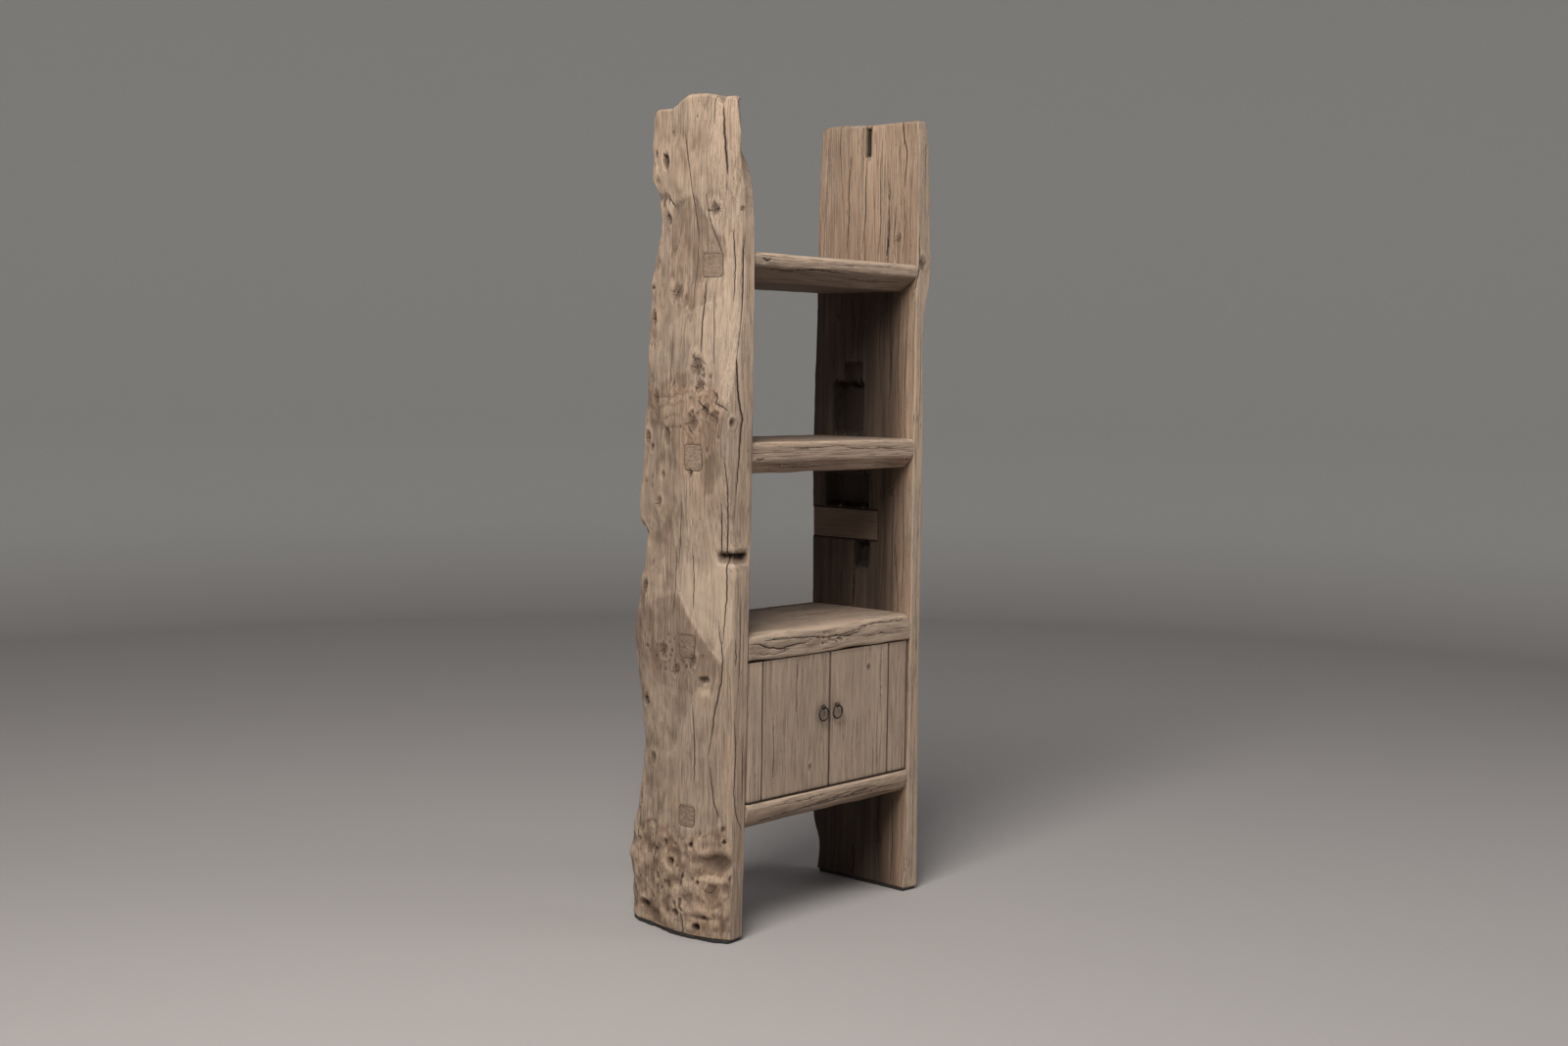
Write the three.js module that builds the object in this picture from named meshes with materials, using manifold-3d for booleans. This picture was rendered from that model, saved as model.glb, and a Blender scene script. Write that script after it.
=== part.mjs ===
// A tall open shelf unit of reclaimed timber: two thick slab sides, two open shelves and a low
// cupboard with two pivoting doors.
// Millimetres, +Z up, the front faces -Y, the origin is the bottom centre of the whole piece.
import * as THREE from "three";
import { mergeVertices } from "three/addons/utils/BufferGeometryUtils.js";
import Module from "manifold-3d";

// ---- driving dimensions -------------------------------------------------------------------
const INNER_WIDTH = 585; // clear width between the slab sides
const LEFT_THICKNESS = 84; // left slab at its thickest
const RIGHT_THICKNESS = 58; // right slab at its thickest
const FRONT = -162; // plane of the slab fronts and board fronts
const DEPTH = 325; // nominal depth of the slabs
const SOLE_HEIGHT = 8; // rubber sole under each slab
const SOLE_INSET = 5; // its edge inside the edge of the slab
const GAP = 0.3; // clearance between neighbouring pieces

const TOP_SHELF = { bottom: 1508, thick: 65, depth: 315 };
const MIDDLE_SHELF = { bottom: 1073, thick: 72, depth: 325 };
const CUPBOARD_TOP = { bottom: 644, thick: 65, depth: 310 };
const BOTTOM_BOARD = { bottom: 255, thick: 59, depth: 310 };
const TENON_WIDTH = 50; // front to back
const TENON_SHOULDER = 6; // left above and below each tenon
const BLIND_TENON_LENGTH = 30;
const BLIND_TENON_Y = 70; // centre of the rear, blind tenons

const DOOR_THICK = 24;
const DOOR_SETBACK = 4; // door faces behind the front plane
const DOOR_GAP = 2.5; // above and below each door
const DOOR_SIDE_GAP = 2; // beside each slab
const MEETING_X = 7; // where the two doors meet
const LEFT_JOINT_X = -229; // board joint in the left door
const RIGHT_JOINT_X = 226; // board joint in the right door
const PIVOT_RADIUS = 5;
const BATTEN_TALL = 40;
const BATTEN_PROUD = 9;
const DOVETAIL_DEEP = 7;

const RING_RADIUS = 16; // centre line of the pull ring
const RING_WIRE = 2; // radius of its wire
const EYE_RADIUS = 5; // centre line of the split-pin eye
const EYE_WIRE = 1.6;
const EYE_STAND_OFF = 8; // eye centre in front of the door face
const EYE_Z = 513;
const LEFT_EYE_X = -22;
const RIGHT_EYE_X = 28;

const BACK_BOARD_THICK = 15;
const NAIL_RADIUS = 1.3;
const NAIL_HEAD = 3;

// ---- derived positions --------------------------------------------------------------------
const LEFT_X = (LEFT_THICKNESS - RIGHT_THICKNESS - INNER_WIDTH) / 2; // inner face, left slab
const RIGHT_X = LEFT_X + INNER_WIDTH; // inner face, right slab
const SLAB_BASE = SOLE_HEIGHT + GAP;
const DOOR_FRONT = FRONT + DOOR_SETBACK;
const DOOR_BACK = DOOR_FRONT + DOOR_THICK;
const DOOR_LOW = BOTTOM_BOARD.bottom + BOTTOM_BOARD.thick + DOOR_GAP;
const DOOR_HIGH = CUPBOARD_TOP.bottom - DOOR_GAP;

// ---- solids -------------------------------------------------------------------------------
const wasm = await Module();
wasm.setup();

function solid(geometry) {
  const g = geometry.clone();
  g.deleteAttribute("normal");
  g.deleteAttribute("uv");
  const merged = mergeVertices(g, 1e-4);
  return new wasm.Manifold(
    new wasm.Mesh({
      numProp: 3,
      vertProperties: new Float32Array(merged.attributes.position.array),
      triVerts: new Uint32Array(merged.index.array),
    }),
  );
}

function geometryOf(body) {
  const mesh = body.getMesh();
  const geometry = new THREE.BufferGeometry();
  const position = new Float32Array(mesh.vertProperties);
  geometry.setAttribute("position", new THREE.BufferAttribute(position, 3));
  geometry.setIndex(new THREE.BufferAttribute(new Uint32Array(mesh.triVerts), 1));
  geometry.computeVertexNormals();
  return geometry;
}

const box = (x0, x1, y0, y1, z0, z1) =>
  new THREE.BoxGeometry(x1 - x0, y1 - y0, z1 - z0).translate(
    (x0 + x1) / 2,
    (y0 + y1) / 2,
    (z0 + z1) / 2,
  );

// A closed outline of [a, b] pairs pushed along one axis: x takes [y, z], y takes [z, x] and
// z takes [x, y].
function extrude(axis, outline, from, to) {
  const shape = new THREE.Shape(outline.map(([a, b]) => new THREE.Vector2(a, b)));
  const g = new THREE.ExtrudeGeometry(shape, { depth: to - from, bevelEnabled: false });
  g.translate(0, 0, from);
  const x = new THREE.Vector3(1, 0, 0);
  const y = new THREE.Vector3(0, 1, 0);
  const z = new THREE.Vector3(0, 0, 1);
  const basis = { x: [y, z, x], y: [z, x, y], z: [x, y, z] }[axis];
  return g.applyMatrix4(new THREE.Matrix4().makeBasis(...basis));
}

// A round bar along one axis, centred on (a, b) in the same order as extrude.
function bar(axis, a, b, from, to, radius, sides = 12) {
  const outline = Array.from({ length: sides }, (_, i) => {
    const t = (2 * Math.PI * (i + 0.5)) / sides;
    return [a + radius * Math.cos(t), b + radius * Math.sin(t)];
  });
  return extrude(axis, outline, from, to);
}

// Straight lines through [key, value] points.
function along(points, key) {
  if (key <= points[0][0]) return points[0][1];
  for (let i = 1; i < points.length; i++) {
    const [k0, v0] = points[i - 1];
    const [k1, v1] = points[i];
    if (key <= k1) return v0 + ((v1 - v0) * (key - k0)) / (k1 - k0);
  }
  return points[points.length - 1][1];
}

// ---- the two slab sides -------------------------------------------------------------------
// Curves are read by height, as distance behind the front plane or as thickness.
const LEFT = {
  inner: LEFT_X,
  out: -1,
  frontInner: [[0, 9], [250, 6], [700, -1], [1500, -5], [1660, 0], [1770, 24], [1800, 44], [1860, 50]],
  frontOuter: [[0, 5], [1700, 4], [1800, 2], [1870, -3], [1925, 8]],
  back: [
    [0, 327], [140, 332], [260, 322], [340, 306], [460, 295], [520, 306], [610, 325], [666, 334],
    [750, 324], [820, 311], [900, 293], [970, 313], [1090, 303], [1220, 302], [1310, 295],
    [1470, 287], [1560, 275], [1620, 254], [1700, 261], [1745, 281], [1925, 289],
  ],
  frontThick: [
    [0, 46], [450, 42], [700, 50], [900, 48], [1050, 68], [1200, 76], [1350, 45], [1500, 26],
    [1650, 26], [1800, 45], [1925, 50],
  ],
  backThick: 44,
  bulge: [
    [0, 84], [300, 82], [600, 80], [900, 76], [1200, 84], [1500, 76], [1800, 72], [1925, 66],
  ],
  top: [
    [0, 1872], [15, 1912], [35, 1912], [44, 1894], [60, 1912], [110, 1923], [170, 1915], [205, 1900],
    [265, 1903], [290, 1880],
  ],
};
const RIGHT = {
  inner: RIGHT_X,
  out: 1,
  frontInner: [[0, 12], [60, 4], [120, 0], [1860, 0], [1925, 6]],
  frontOuter: [[0, 4], [1860, 2], [1925, 8]],
  back: [
    [0, 300], [80, 294], [150, 315], [640, 327], [850, 331], [1150, 334], [1500, 327],
    [1760, 326], [1925, 318],
  ],
  frontThick: [
    [0, 52], [320, 46], [670, 41], [1140, 40], [1450, 34], [1530, 54], [1575, 58], [1650, 53],
    [1745, 50], [1925, 38],
  ],
  backThick: 36,
  bulge: [[0, 56], [600, 52], [1200, 54], [1925, 50]],
  top: [[0, 1920], [12, 1924], [160, 1925], [300, 1929], [314, 1924], [320, 1916]],
};
const ACROSS = [0, 0.012, 0.045, 0.12, 0.2, 0.3, 0.42, 0.55, 0.68, 0.8, 0.9, 0.96, 0.988, 1];
const LEVELS = [
  SLAB_BASE, 10, 80, 150, 205, 260, 340, 400, 460, 520, 610, 666, 750, 820, 900, 970, 1040, 1110,
  1200, 1310, 1390, 1470, 1530, 1575, 1620, 1660, 1700, 1750, 1800, 1860,
];
const CORNER = 4; // the worn corners

// Thickness of a slab at a share s of its depth and a height z.
function thickness(s, z, slab) {
  const edge = along(slab.frontThick, z);
  const base = edge + (slab.backThick - edge) * s;
  return base + (along(slab.bulge, z) - base) * Math.sin(Math.PI * s ** 0.8);
}

// One ring of points round the slab at level v: inner face front to back, outer face back to
// front. inset pulls the ring in at the top and bottom edges.
function ring(slab, v, drop, inset) {
  const points = [];
  const last = ACROSS.length - 1;
  for (const [outer, order] of [[false, ACROSS], [true, [...ACROSS].reverse()]]) {
    for (const s of order) {
      const level = v ?? 1900;
      const front = along(outer ? slab.frontOuter : slab.frontInner, level) + inset;
      const back = along(slab.back, level) - inset;
      const y = front + (back - front) * s;
      const z = v ?? along(slab.top, y) - drop;
      const corner = s === ACROSS[0] || s === ACROSS[last] ? CORNER : 0;
      const depth = outer ? thickness(s, level, slab) - corner - inset : corner + inset * 0.5;
      points.push([slab.inner + slab.out * depth, FRONT + y, z]);
    }
  }
  return points;
}

function slabGeometry(slab) {
  const rings = LEVELS.map((v, i) => ring(slab, v, 0, i ? 0 : 3));
  rings.push(ring(slab, null, 7, 0), ring(slab, null, 0, 4));
  const n = rings[0].length;
  const index = [];
  const quad = (a, b, c, d) => index.push(a, b, c, a, c, d);
  for (let k = 0; k + 1 < rings.length; k++)
    for (let i = 0; i < n; i++) {
      const j = (i + 1) % n;
      quad(k * n + i, k * n + j, (k + 1) * n + j, (k + 1) * n + i);
    }
  const top = (rings.length - 1) * n;
  for (let i = 0; i + 1 < n / 2; i++) {
    quad(i, n - 1 - i, n - 2 - i, i + 1);
    quad(top + i, top + i + 1, top + n - 2 - i, top + n - 1 - i);
  }
  // Seen from above the ring of the left slab runs anticlockwise, the right one's the other way.
  if (slab.out > 0)
    for (let i = 0; i < index.length; i += 3)
      [index[i + 1], index[i + 2]] = [index[i + 2], index[i + 1]];
  const g = new THREE.BufferGeometry();
  g.setAttribute("position", new THREE.BufferAttribute(new Float32Array(rings.flat(2)), 3));
  g.setIndex(index);
  return g;
}

// ---- boards with tenons -------------------------------------------------------------------
// Fronts, as [behind the front plane, above the underside], from the top edge down.
const FRONTS = {
  top_shelf: [[8, 65], [2, 61], [0, 54], [0, 37], [8, 27], [45, 0]],
  middle_shelf: [[5, 72], [0, 67], [0, 29], [6, 22], [25, 0]],
  cupboard_top: [[25, 65], [11, 61], [3, 52], [0, 40], [0, 3], [3, 0]],
  bottom_board: [[4, 59], [0, 55], [0, 36], [8, 16], [20, 4], [34, 0]],
};
// Centres of the front, through tenons behind the front plane.
const TENONS = { top_shelf: 68, middle_shelf: 105, cupboard_top: 122, bottom_board: 117 };
const BOARDS = {
  top_shelf: TOP_SHELF,
  middle_shelf: MIDDLE_SHELF,
  cupboard_top: CUPBOARD_TOP,
  bottom_board: BOTTOM_BOARD,
};

// How far a through tenon may reach so that its end stays just under the slab's outer face.
function tenonReach(slab, y0, y1, z0, z1) {
  let least = Infinity;
  for (const z of [z0, (z0 + z1) / 2, z1]) {
    const front = along(slab.frontOuter, z);
    const back = along(slab.back, z);
    for (let y = y0; y <= y1 + 0.1; y += (y1 - y0) / 4)
      least = Math.min(least, thickness((y - front) / (back - front), z, slab));
  }
  return least - 1.5;
}

// The four tenons of a board as boxes; grow widens them into mortises.
function tenons(name, grow) {
  const { bottom, thick } = BOARDS[name];
  const z0 = bottom + TENON_SHOULDER;
  const z1 = bottom + thick - TENON_SHOULDER;
  const centre = TENONS[name];
  const y0 = centre - TENON_WIDTH / 2;
  const y1 = centre + TENON_WIDTH / 2;
  const list = [];
  for (const slab of [LEFT, RIGHT]) {
    const through = grow ? 200 : tenonReach(slab, y0, y1, z0, z1);
    const spans = [
      [FRONT + y0, FRONT + y1, through],
      [BLIND_TENON_Y - TENON_WIDTH / 2, BLIND_TENON_Y + TENON_WIDTH / 2, BLIND_TENON_LENGTH + grow],
    ];
    for (const [ya, yb, reach] of spans) {
      const xs = [slab.inner - slab.out * 5, slab.inner + slab.out * reach].sort((a, b) => a - b);
      list.push(box(xs[0], xs[1], ya - grow, yb + grow, z0 - grow, z1 + grow));
    }
  }
  return list;
}

function board(name) {
  const { bottom, thick, depth } = BOARDS[name];
  const back = FRONT + depth;
  const outline = FRONTS[name].map(([y, z]) => [FRONT + y, bottom + z]);
  outline.push([back - 3, bottom], [back, bottom + 3], [back, bottom + thick - 3]);
  outline.push([back - 3, bottom + thick]);
  let body = solid(extrude("x", outline, LEFT_X + GAP, RIGHT_X - GAP));
  for (const tenon of tenons(name, 0)) body = body.add(solid(tenon));
  return body;
}

// ---- assembling ---------------------------------------------------------------------------
const material = (name, color, metalness, roughness) =>
  new THREE.MeshStandardMaterial({ name, color, metalness, roughness });
const LOOKS = {
  slab_left: () => material("weathered_elm_left", 0xa08a76, 0, 0.85),
  slab_right: () => material("weathered_elm_right", 0x9a8068, 0, 0.82),
  shelf: () => material("weathered_elm_board", 0x947c69, 0, 0.8),
  door: () => material("weathered_elm_door", 0x86735f, 0, 0.83),
  inside: () => material("weathered_elm_inside", 0x6f5c4b, 0, 0.9),
  iron: () => material("blackened_iron", 0x2b2624, 0.85, 0.55),
  nail: () => material("rusted_nail_iron", 0x4a372c, 0.7, 0.7),
  pad: () => material("black_foot_rubber", 0x18171a, 0, 0.9),
};
const root = new THREE.Group();
root.name = "reclaimed_timber_shelf_cupboard";
const pieces = new Map();

function put(name, body, look) {
  pieces.set(name, { body: body.getMesh ? body : solid(body), look });
}
function cut(name, ...tools) {
  const piece = pieces.get(name);
  for (const tool of tools) piece.body = piece.body.subtract(solid(tool));
}

put("left_slab", slabGeometry(LEFT), "slab_left");
put("right_slab", slabGeometry(RIGHT), "slab_right");
for (const name of Object.keys(BOARDS)) {
  put(name, board(name), "shelf");
  for (const mortise of tenons(name, GAP)) cut(mortiseSlab(mortise), mortise);
}
function mortiseSlab(mortise) {
  mortise.computeBoundingBox();
  return mortise.boundingBox.min.x < 0 ? "left_slab" : "right_slab";
}

// Old mortises and a slot left in the inner face of the right slab, and a fitted patch.
const pocket = (y0, y1, z0, z1, deep) =>
  box(RIGHT_X - 10, RIGHT_X + deep, FRONT + y0, FRONT + y1, z0, z1);
cut(
  "right_slab",
  pocket(156, 172, 1850, 1960, 22),
  pocket(168, 264, 1152, 1284, 34),
  pocket(146, 286, 968, 1052, 30),
  pocket(140, 186, 816, 880 - GAP, 26),
);
const PATCH = { y0: 114, z0: 884, z1: 960, deep: 20 };
cut("right_slab", pocket(PATCH.y0, 400, PATCH.z0, PATCH.z1, PATCH.deep));
put(
  "right_slab_patch",
  box(
    RIGHT_X + 0.5,
    RIGHT_X + PATCH.deep - GAP,
    FRONT + PATCH.y0 + GAP,
    FRONT + 326,
    PATCH.z0 + GAP,
    PATCH.z1 - GAP,
  ),
  "slab_right",
);

// Back boards, nailed to the rear edges of the cupboard top and the bottom board.
const backFront = FRONT + CUPBOARD_TOP.depth + GAP;
const backLow = BOTTOM_BOARD.bottom;
const backHigh = CUPBOARD_TOP.bottom + CUPBOARD_TOP.thick;
const boardWidth = (INNER_WIDTH - 5) / 3;
// A nail along y from the back, or along z from below, with its hole cut in every piece named.
function nail(name, axis, a, b, from, to, through) {
  const way = Math.sign(to - from);
  const head = from - 0.2 * way;
  const span = (p, q) => [Math.min(p, q), Math.max(p, q)];
  const shank = solid(bar(axis, a, b, ...span(head, to), NAIL_RADIUS, 8));
  const cap = solid(bar(axis, a, b, ...span(head, head - way * 1.6), NAIL_HEAD, 10));
  put(name, shank.add(cap), "nail");
  for (const piece of through)
    cut(piece, bar(axis, a, b, ...span(from - way * 5, to + way), NAIL_RADIUS + GAP, 8));
}
for (let i = 0; i < 3; i++) {
  const x0 = LEFT_X + 1 + i * (boardWidth + 1.5);
  const x1 = x0 + boardWidth;
  const name = "back_board_" + (i + 1);
  put(name, box(x0, x1, backFront, backFront + BACK_BOARD_THICK, backLow, backHigh), "inside");
  for (const [row, z, piece] of [
    ["low", BOTTOM_BOARD.bottom + 30, "bottom_board"],
    ["high", CUPBOARD_TOP.bottom + 33, "cupboard_top"],
  ])
    for (const [side, x] of [["left", x0 + 35], ["right", x1 - 35]])
      nail(
        ["back_nail", i + 1, row, side].join("_"),
        "y",
        z,
        x,
        backFront + BACK_BOARD_THICK,
        backFront - 30,
        [name, piece],
      );
}

// ---- doors --------------------------------------------------------------------------------
const midDoor = (DOOR_FRONT + DOOR_BACK) / 2;
const DOORS = [
  { side: "left", way: 1, outer: LEFT_X + DOOR_SIDE_GAP, inner: MEETING_X - 1, joint: LEFT_JOINT_X, eye: LEFT_EYE_X },
  { side: "right", way: -1, outer: RIGHT_X - DOOR_SIDE_GAP, inner: MEETING_X + 1, joint: RIGHT_JOINT_X, eye: RIGHT_EYE_X },
];
const half = DOOR_THICK / 2;
for (const door of DOORS) {
  const { side, way, outer, inner, joint, eye } = door;
  const pivot = outer + way * half;
  // The hinge edge is a half round about the pivot, so it clears the slab as it turns.
  const outline = Array.from({ length: 11 }, (_, i) => {
    const t = Math.PI / 2 + (Math.PI * i) / 10;
    return [pivot + way * half * Math.cos(t), midDoor + half * Math.sin(t)];
  });
  const edge = joint - way * GAP;
  outline.push([edge, DOOR_FRONT], [edge, DOOR_BACK]);
  put(side + "_door_outer_board", extrude("z", outline, DOOR_LOW, DOOR_HIGH), "door");
  const xs = [joint + way * GAP, inner].sort((a, b) => a - b);
  put(side + "_door_inner_board", box(xs[0], xs[1], DOOR_FRONT, DOOR_BACK, DOOR_LOW, DOOR_HIGH), "door");
  const boards = [side + "_door_outer_board", side + "_door_inner_board"];

  // Two sliding dovetail battens across the back.
  const reach = [outer + way * 27, inner - way * 25].sort((a, b) => a - b);
  for (const [level, z] of [["lower", DOOR_LOW + 55], ["upper", DOOR_HIGH - 55]]) {
    const dovetail = (g) => [
      [z + BATTEN_TALL / 2 - 4 + g, DOOR_BACK],
      [z + BATTEN_TALL / 2 + g, DOOR_BACK - DOVETAIL_DEEP - g],
      [z - BATTEN_TALL / 2 - g, DOOR_BACK - DOVETAIL_DEEP - g],
      [z - BATTEN_TALL / 2 + 4 - g, DOOR_BACK],
    ];
    // extrude("x") reads [y, z]
    const swap = (points) => points.map(([b, a]) => [a, b]);
    const tongue = solid(extrude("x", swap(dovetail(0)), reach[0], reach[1]));
    const proud = box(
      reach[0], reach[1], DOOR_BACK - 1, DOOR_BACK + BATTEN_PROUD, z - BATTEN_TALL / 2 + 4, z + BATTEN_TALL / 2 - 4,
    );
    put([side, "door", level, "batten"].join("_"), tongue.add(solid(proud)), "inside");
    const groove = dovetail(GAP);
    groove.splice(0, 1, [groove[0][0], DOOR_BACK + 3], [groove[0][0], DOOR_BACK]);
    groove.push([groove[groove.length - 1][0], DOOR_BACK + 3]);
    for (const name of boards) cut(name, extrude("x", swap(groove), reach[0] - 1, reach[1] + 1));
  }

  // Pivot pins above and below, and a washer under the door.
  const ends = [
    ["top", DOOR_HIGH - 25, CUPBOARD_TOP.bottom + 20, "cupboard_top"],
    ["bottom", DOOR_LOW + 25, BOTTOM_BOARD.bottom + BOTTOM_BOARD.thick - 20, "bottom_board"],
  ];
  for (const [end, inDoor, inBoard, piece] of ends) {
    const [z0, z1] = [inDoor, inBoard].sort((a, b) => a - b);
    put([side, "door", end, "pivot"].join("_"), bar("z", pivot, midDoor, z0, z1, PIVOT_RADIUS, 16), "iron");
    cut(boards[0], bar("z", pivot, midDoor, z0 - 1, z1 + 1, PIVOT_RADIUS + GAP, 16));
    cut(piece, bar("z", pivot, midDoor, z0 - 1, z1 + 1, PIVOT_RADIUS + 0.5, 16));
  }
  const top = BOTTOM_BOARD.bottom + BOTTOM_BOARD.thick;
  put(
    side + "_door_washer",
    solid(bar("z", pivot, midDoor, top + 0.2, top + 2.2, 10, 20)).subtract(
      solid(bar("z", pivot, midDoor, top, top + 3, PIVOT_RADIUS + 0.5, 16)),
    ),
    "iron",
  );

  // A ring pull hanging in a split-pin eye whose legs are clenched behind the door.
  const eyeY = DOOR_FRONT - EYE_STAND_OFF;
  const loop = new THREE.TorusGeometry(EYE_RADIUS, EYE_WIRE, 8, 18).rotateY(Math.PI / 2);
  let pin = solid(loop.translate(eye, eyeY, EYE_Z));
  pin = pin.add(solid(bar("y", EYE_Z, eye, eyeY + EYE_RADIUS - 0.6, DOOR_BACK + 2.2, 2, 10)));
  for (const way2 of [1, -1]) {
    const leg = [EYE_Z, EYE_Z + way2 * 15].sort((a, b) => a - b);
    pin = pin.add(solid(bar("z", eye, DOOR_BACK + 1.9, leg[0], leg[1], 1.4, 8)));
  }
  put(side + "_pull_eye", pin, "iron");
  cut(boards[1], bar("y", EYE_Z, eye, DOOR_FRONT - 5, DOOR_BACK + 5, 2 + GAP, 10));
  const wireZ = EYE_Z - EYE_RADIUS + EYE_WIRE + RING_WIRE + GAP;
  const hoop = new THREE.TorusGeometry(RING_RADIUS, RING_WIRE, 8, 32).rotateX(Math.PI / 2);
  put(side + "_pull_ring", hoop.translate(eye, eyeY, wireZ - RING_RADIUS), "iron");
}

// The strip under the cupboard top that both doors close against.
const stop = { x0: MEETING_X - 100, x1: MEETING_X + 100, y: DOOR_BACK + 0.5, size: 20 };
const stopTop = CUPBOARD_TOP.bottom - GAP;
put(
  "door_stop",
  box(stop.x0, stop.x1, stop.y, stop.y + stop.size, stopTop - stop.size, stopTop),
  "inside",
);
for (const [side, x] of [["left", MEETING_X - 70], ["right", MEETING_X + 70]])
  nail("door_stop_nail_" + side, "z", x, stop.y + 10, stopTop - stop.size, stopTop + 22, ["door_stop", "cupboard_top"]);

// ---- rubber soles ------------------------------------------------------------------------
for (const [side, slab] of [["left", LEFT], ["right", RIGHT]]) {
  const outline = ring(slab, SLAB_BASE, 0, SOLE_INSET).map(([x, y]) => [x, y]);
  put(side + "_sole", extrude("z", outline, 0, SOLE_HEIGHT), "pad");
}

for (const [name, { body, look }] of pieces) {
  const mesh = new THREE.Mesh(geometryOf(body), LOOKS[look]());
  mesh.name = name;
  root.add(mesh);
}
export default root;
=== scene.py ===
"""A tall shelf unit of reclaimed elm: two waney slab sides, plank shelves and a low cupboard.

Lengths inside the functions are millimetres in the frame of the CAD model; meshes are in metres.
"""

import functools
import math

import bpy
import numpy as np
from bpy.props import FloatProperty, FloatVectorProperty, PointerProperty
from mathutils import Matrix, Vector


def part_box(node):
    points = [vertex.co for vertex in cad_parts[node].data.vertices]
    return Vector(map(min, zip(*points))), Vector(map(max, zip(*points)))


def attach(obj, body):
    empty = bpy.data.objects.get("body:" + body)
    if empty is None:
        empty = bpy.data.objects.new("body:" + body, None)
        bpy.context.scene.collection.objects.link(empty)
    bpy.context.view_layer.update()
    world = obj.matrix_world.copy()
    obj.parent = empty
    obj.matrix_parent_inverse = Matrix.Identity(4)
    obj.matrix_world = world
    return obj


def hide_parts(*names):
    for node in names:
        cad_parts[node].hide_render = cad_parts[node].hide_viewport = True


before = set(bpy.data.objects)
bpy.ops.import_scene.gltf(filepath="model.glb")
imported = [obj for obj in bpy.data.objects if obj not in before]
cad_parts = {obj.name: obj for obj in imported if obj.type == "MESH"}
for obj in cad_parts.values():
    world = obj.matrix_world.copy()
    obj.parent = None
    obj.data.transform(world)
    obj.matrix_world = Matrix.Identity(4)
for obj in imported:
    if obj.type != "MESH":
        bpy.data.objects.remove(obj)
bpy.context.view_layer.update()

bl_info = {
    "name": "Reclaimed Elm Shelf Cupboard",
    "version": (1, 0, 0),
    "blender": (4, 5, 0),
    "location": "3D View > Sidebar > Timber",
    "description": "Builds a weathered timber shelf unit with a low two-door cupboard",
    "category": "Object",
}

MM = 0.001


def side(node, axis, end):
    """One face of a CAD node's box in millimetres: end 0 is the low face, 1 the high one."""
    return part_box(node)[end][axis] / MM


def corners_of(node):
    """The lowest and highest corners of a CAD node in millimetres."""
    return tuple(np.array(v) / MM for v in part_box(node))


LEFT_X = side("left_slab", 0, 1)
RIGHT_X = side("right_slab", 0, 0)
FRONT = side("cupboard_top", 1, 0)
SLAB_BASE = side("left_slab", 2, 0)
SLAB_TOP = 1925  # the highest row of a slab before its crooked top is laid over it
ROW_STEP = 4.95  # average height between the rows of a slab
CROWN_START = 1790.0  # above this height the rows bend to follow the crooked top
CAP_RADIUS = 9.0  # rounding of the top's edge
CAP_REACH = 28.0  # half width that the rounding is measured against
SHOULDER = 6  # left above and below each tenon
BLIND_ACROSS = (207, 257)  # the rear tenons, which stop inside the slabs
BLIND_LENGTH = 30


# ---- settings ------------------------------------------------------------------------------


def tint(label, words, value):
    """A colour setting in linear red, green and blue."""
    return FloatVectorProperty(
        name=label, description=words, subtype="COLOR", size=3, min=0, max=1, default=value
    )


def dial(label, words, value, low, high, **kind):
    """A number setting between two limits; kind is its subtype and unit."""
    return FloatProperty(name=label, description=words, default=value, min=low, max=high, **kind)


class TimberSettings(bpy.types.PropertyGroup):
    lump_height: dial("Lump height", "Height of the waves on the natural face", 1.0, 0, 2, subtype="FACTOR")
    crack_darkness: dial("Crack darkness", "How dark the open splits are", 0.93, 0, 1, subtype="FACTOR")
    grain_relief: dial(
        "Grain relief", "Height of the raised grain", 0.0011, 0, 0.005, subtype="DISTANCE", unit="LENGTH"
    )
    pale: tint("Pale wood", "Worn and bleached wood", (0.47, 0.345, 0.245))
    mid: tint("Middle wood", "The general colour of the wood", (0.33, 0.235, 0.165))
    dark: tint("Dark grain", "The dark lines of the grain", (0.16, 0.105, 0.07))
    warm: tint("Warm wood", "Redder heartwood and burr", (0.36, 0.22, 0.145))
    grey: tint("Grey wood", "Sun-greyed fibres", (0.3, 0.255, 0.215))
    # This colour also paints the shade in splits, holes and darkened faces.
    dirt_and_painted_shade: tint("Dirt", "Old dirt in splits and hollows", (0.018, 0.011, 0.008))


class IronSettings(bpy.types.PropertyGroup):
    black: tint("Black iron", "Forged skin", (0.035, 0.029, 0.026))
    rust: tint("Rust", "Rusty bloom", (0.13, 0.06, 0.033))
    ring_wire: dial(
        "Ring wire", "Radius of the pull ring's wire", 0.002, 0.001, 0.003, subtype="DISTANCE", unit="LENGTH"
    )


class StageSettings(bpy.types.PropertyGroup):
    floor: tint("Floor", "Pale plain floor", (0.368, 0.342, 0.33))
    wall: tint("Backdrop", "Plain grey backdrop", (0.42, 0.417, 0.405))
    key_power: dial("Key light", "Power of the large soft light", 300.0, 0, 2000, unit="POWER")
    fill_power: dial("Fill light", "Power of the weak front light", 60.0, 0, 2000, unit="POWER")
    sky: dial("Sky", "Strength of the even light all round", 0.2, 0, 3, subtype="FACTOR")
    lens: dial(
        "Lens", "Focal length of the camera", 43.875, 10, 200, subtype="DISTANCE_CAMERA", unit="CAMERA"
    )


# ---- smooth noise and curves ---------------------------------------------------------------


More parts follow.
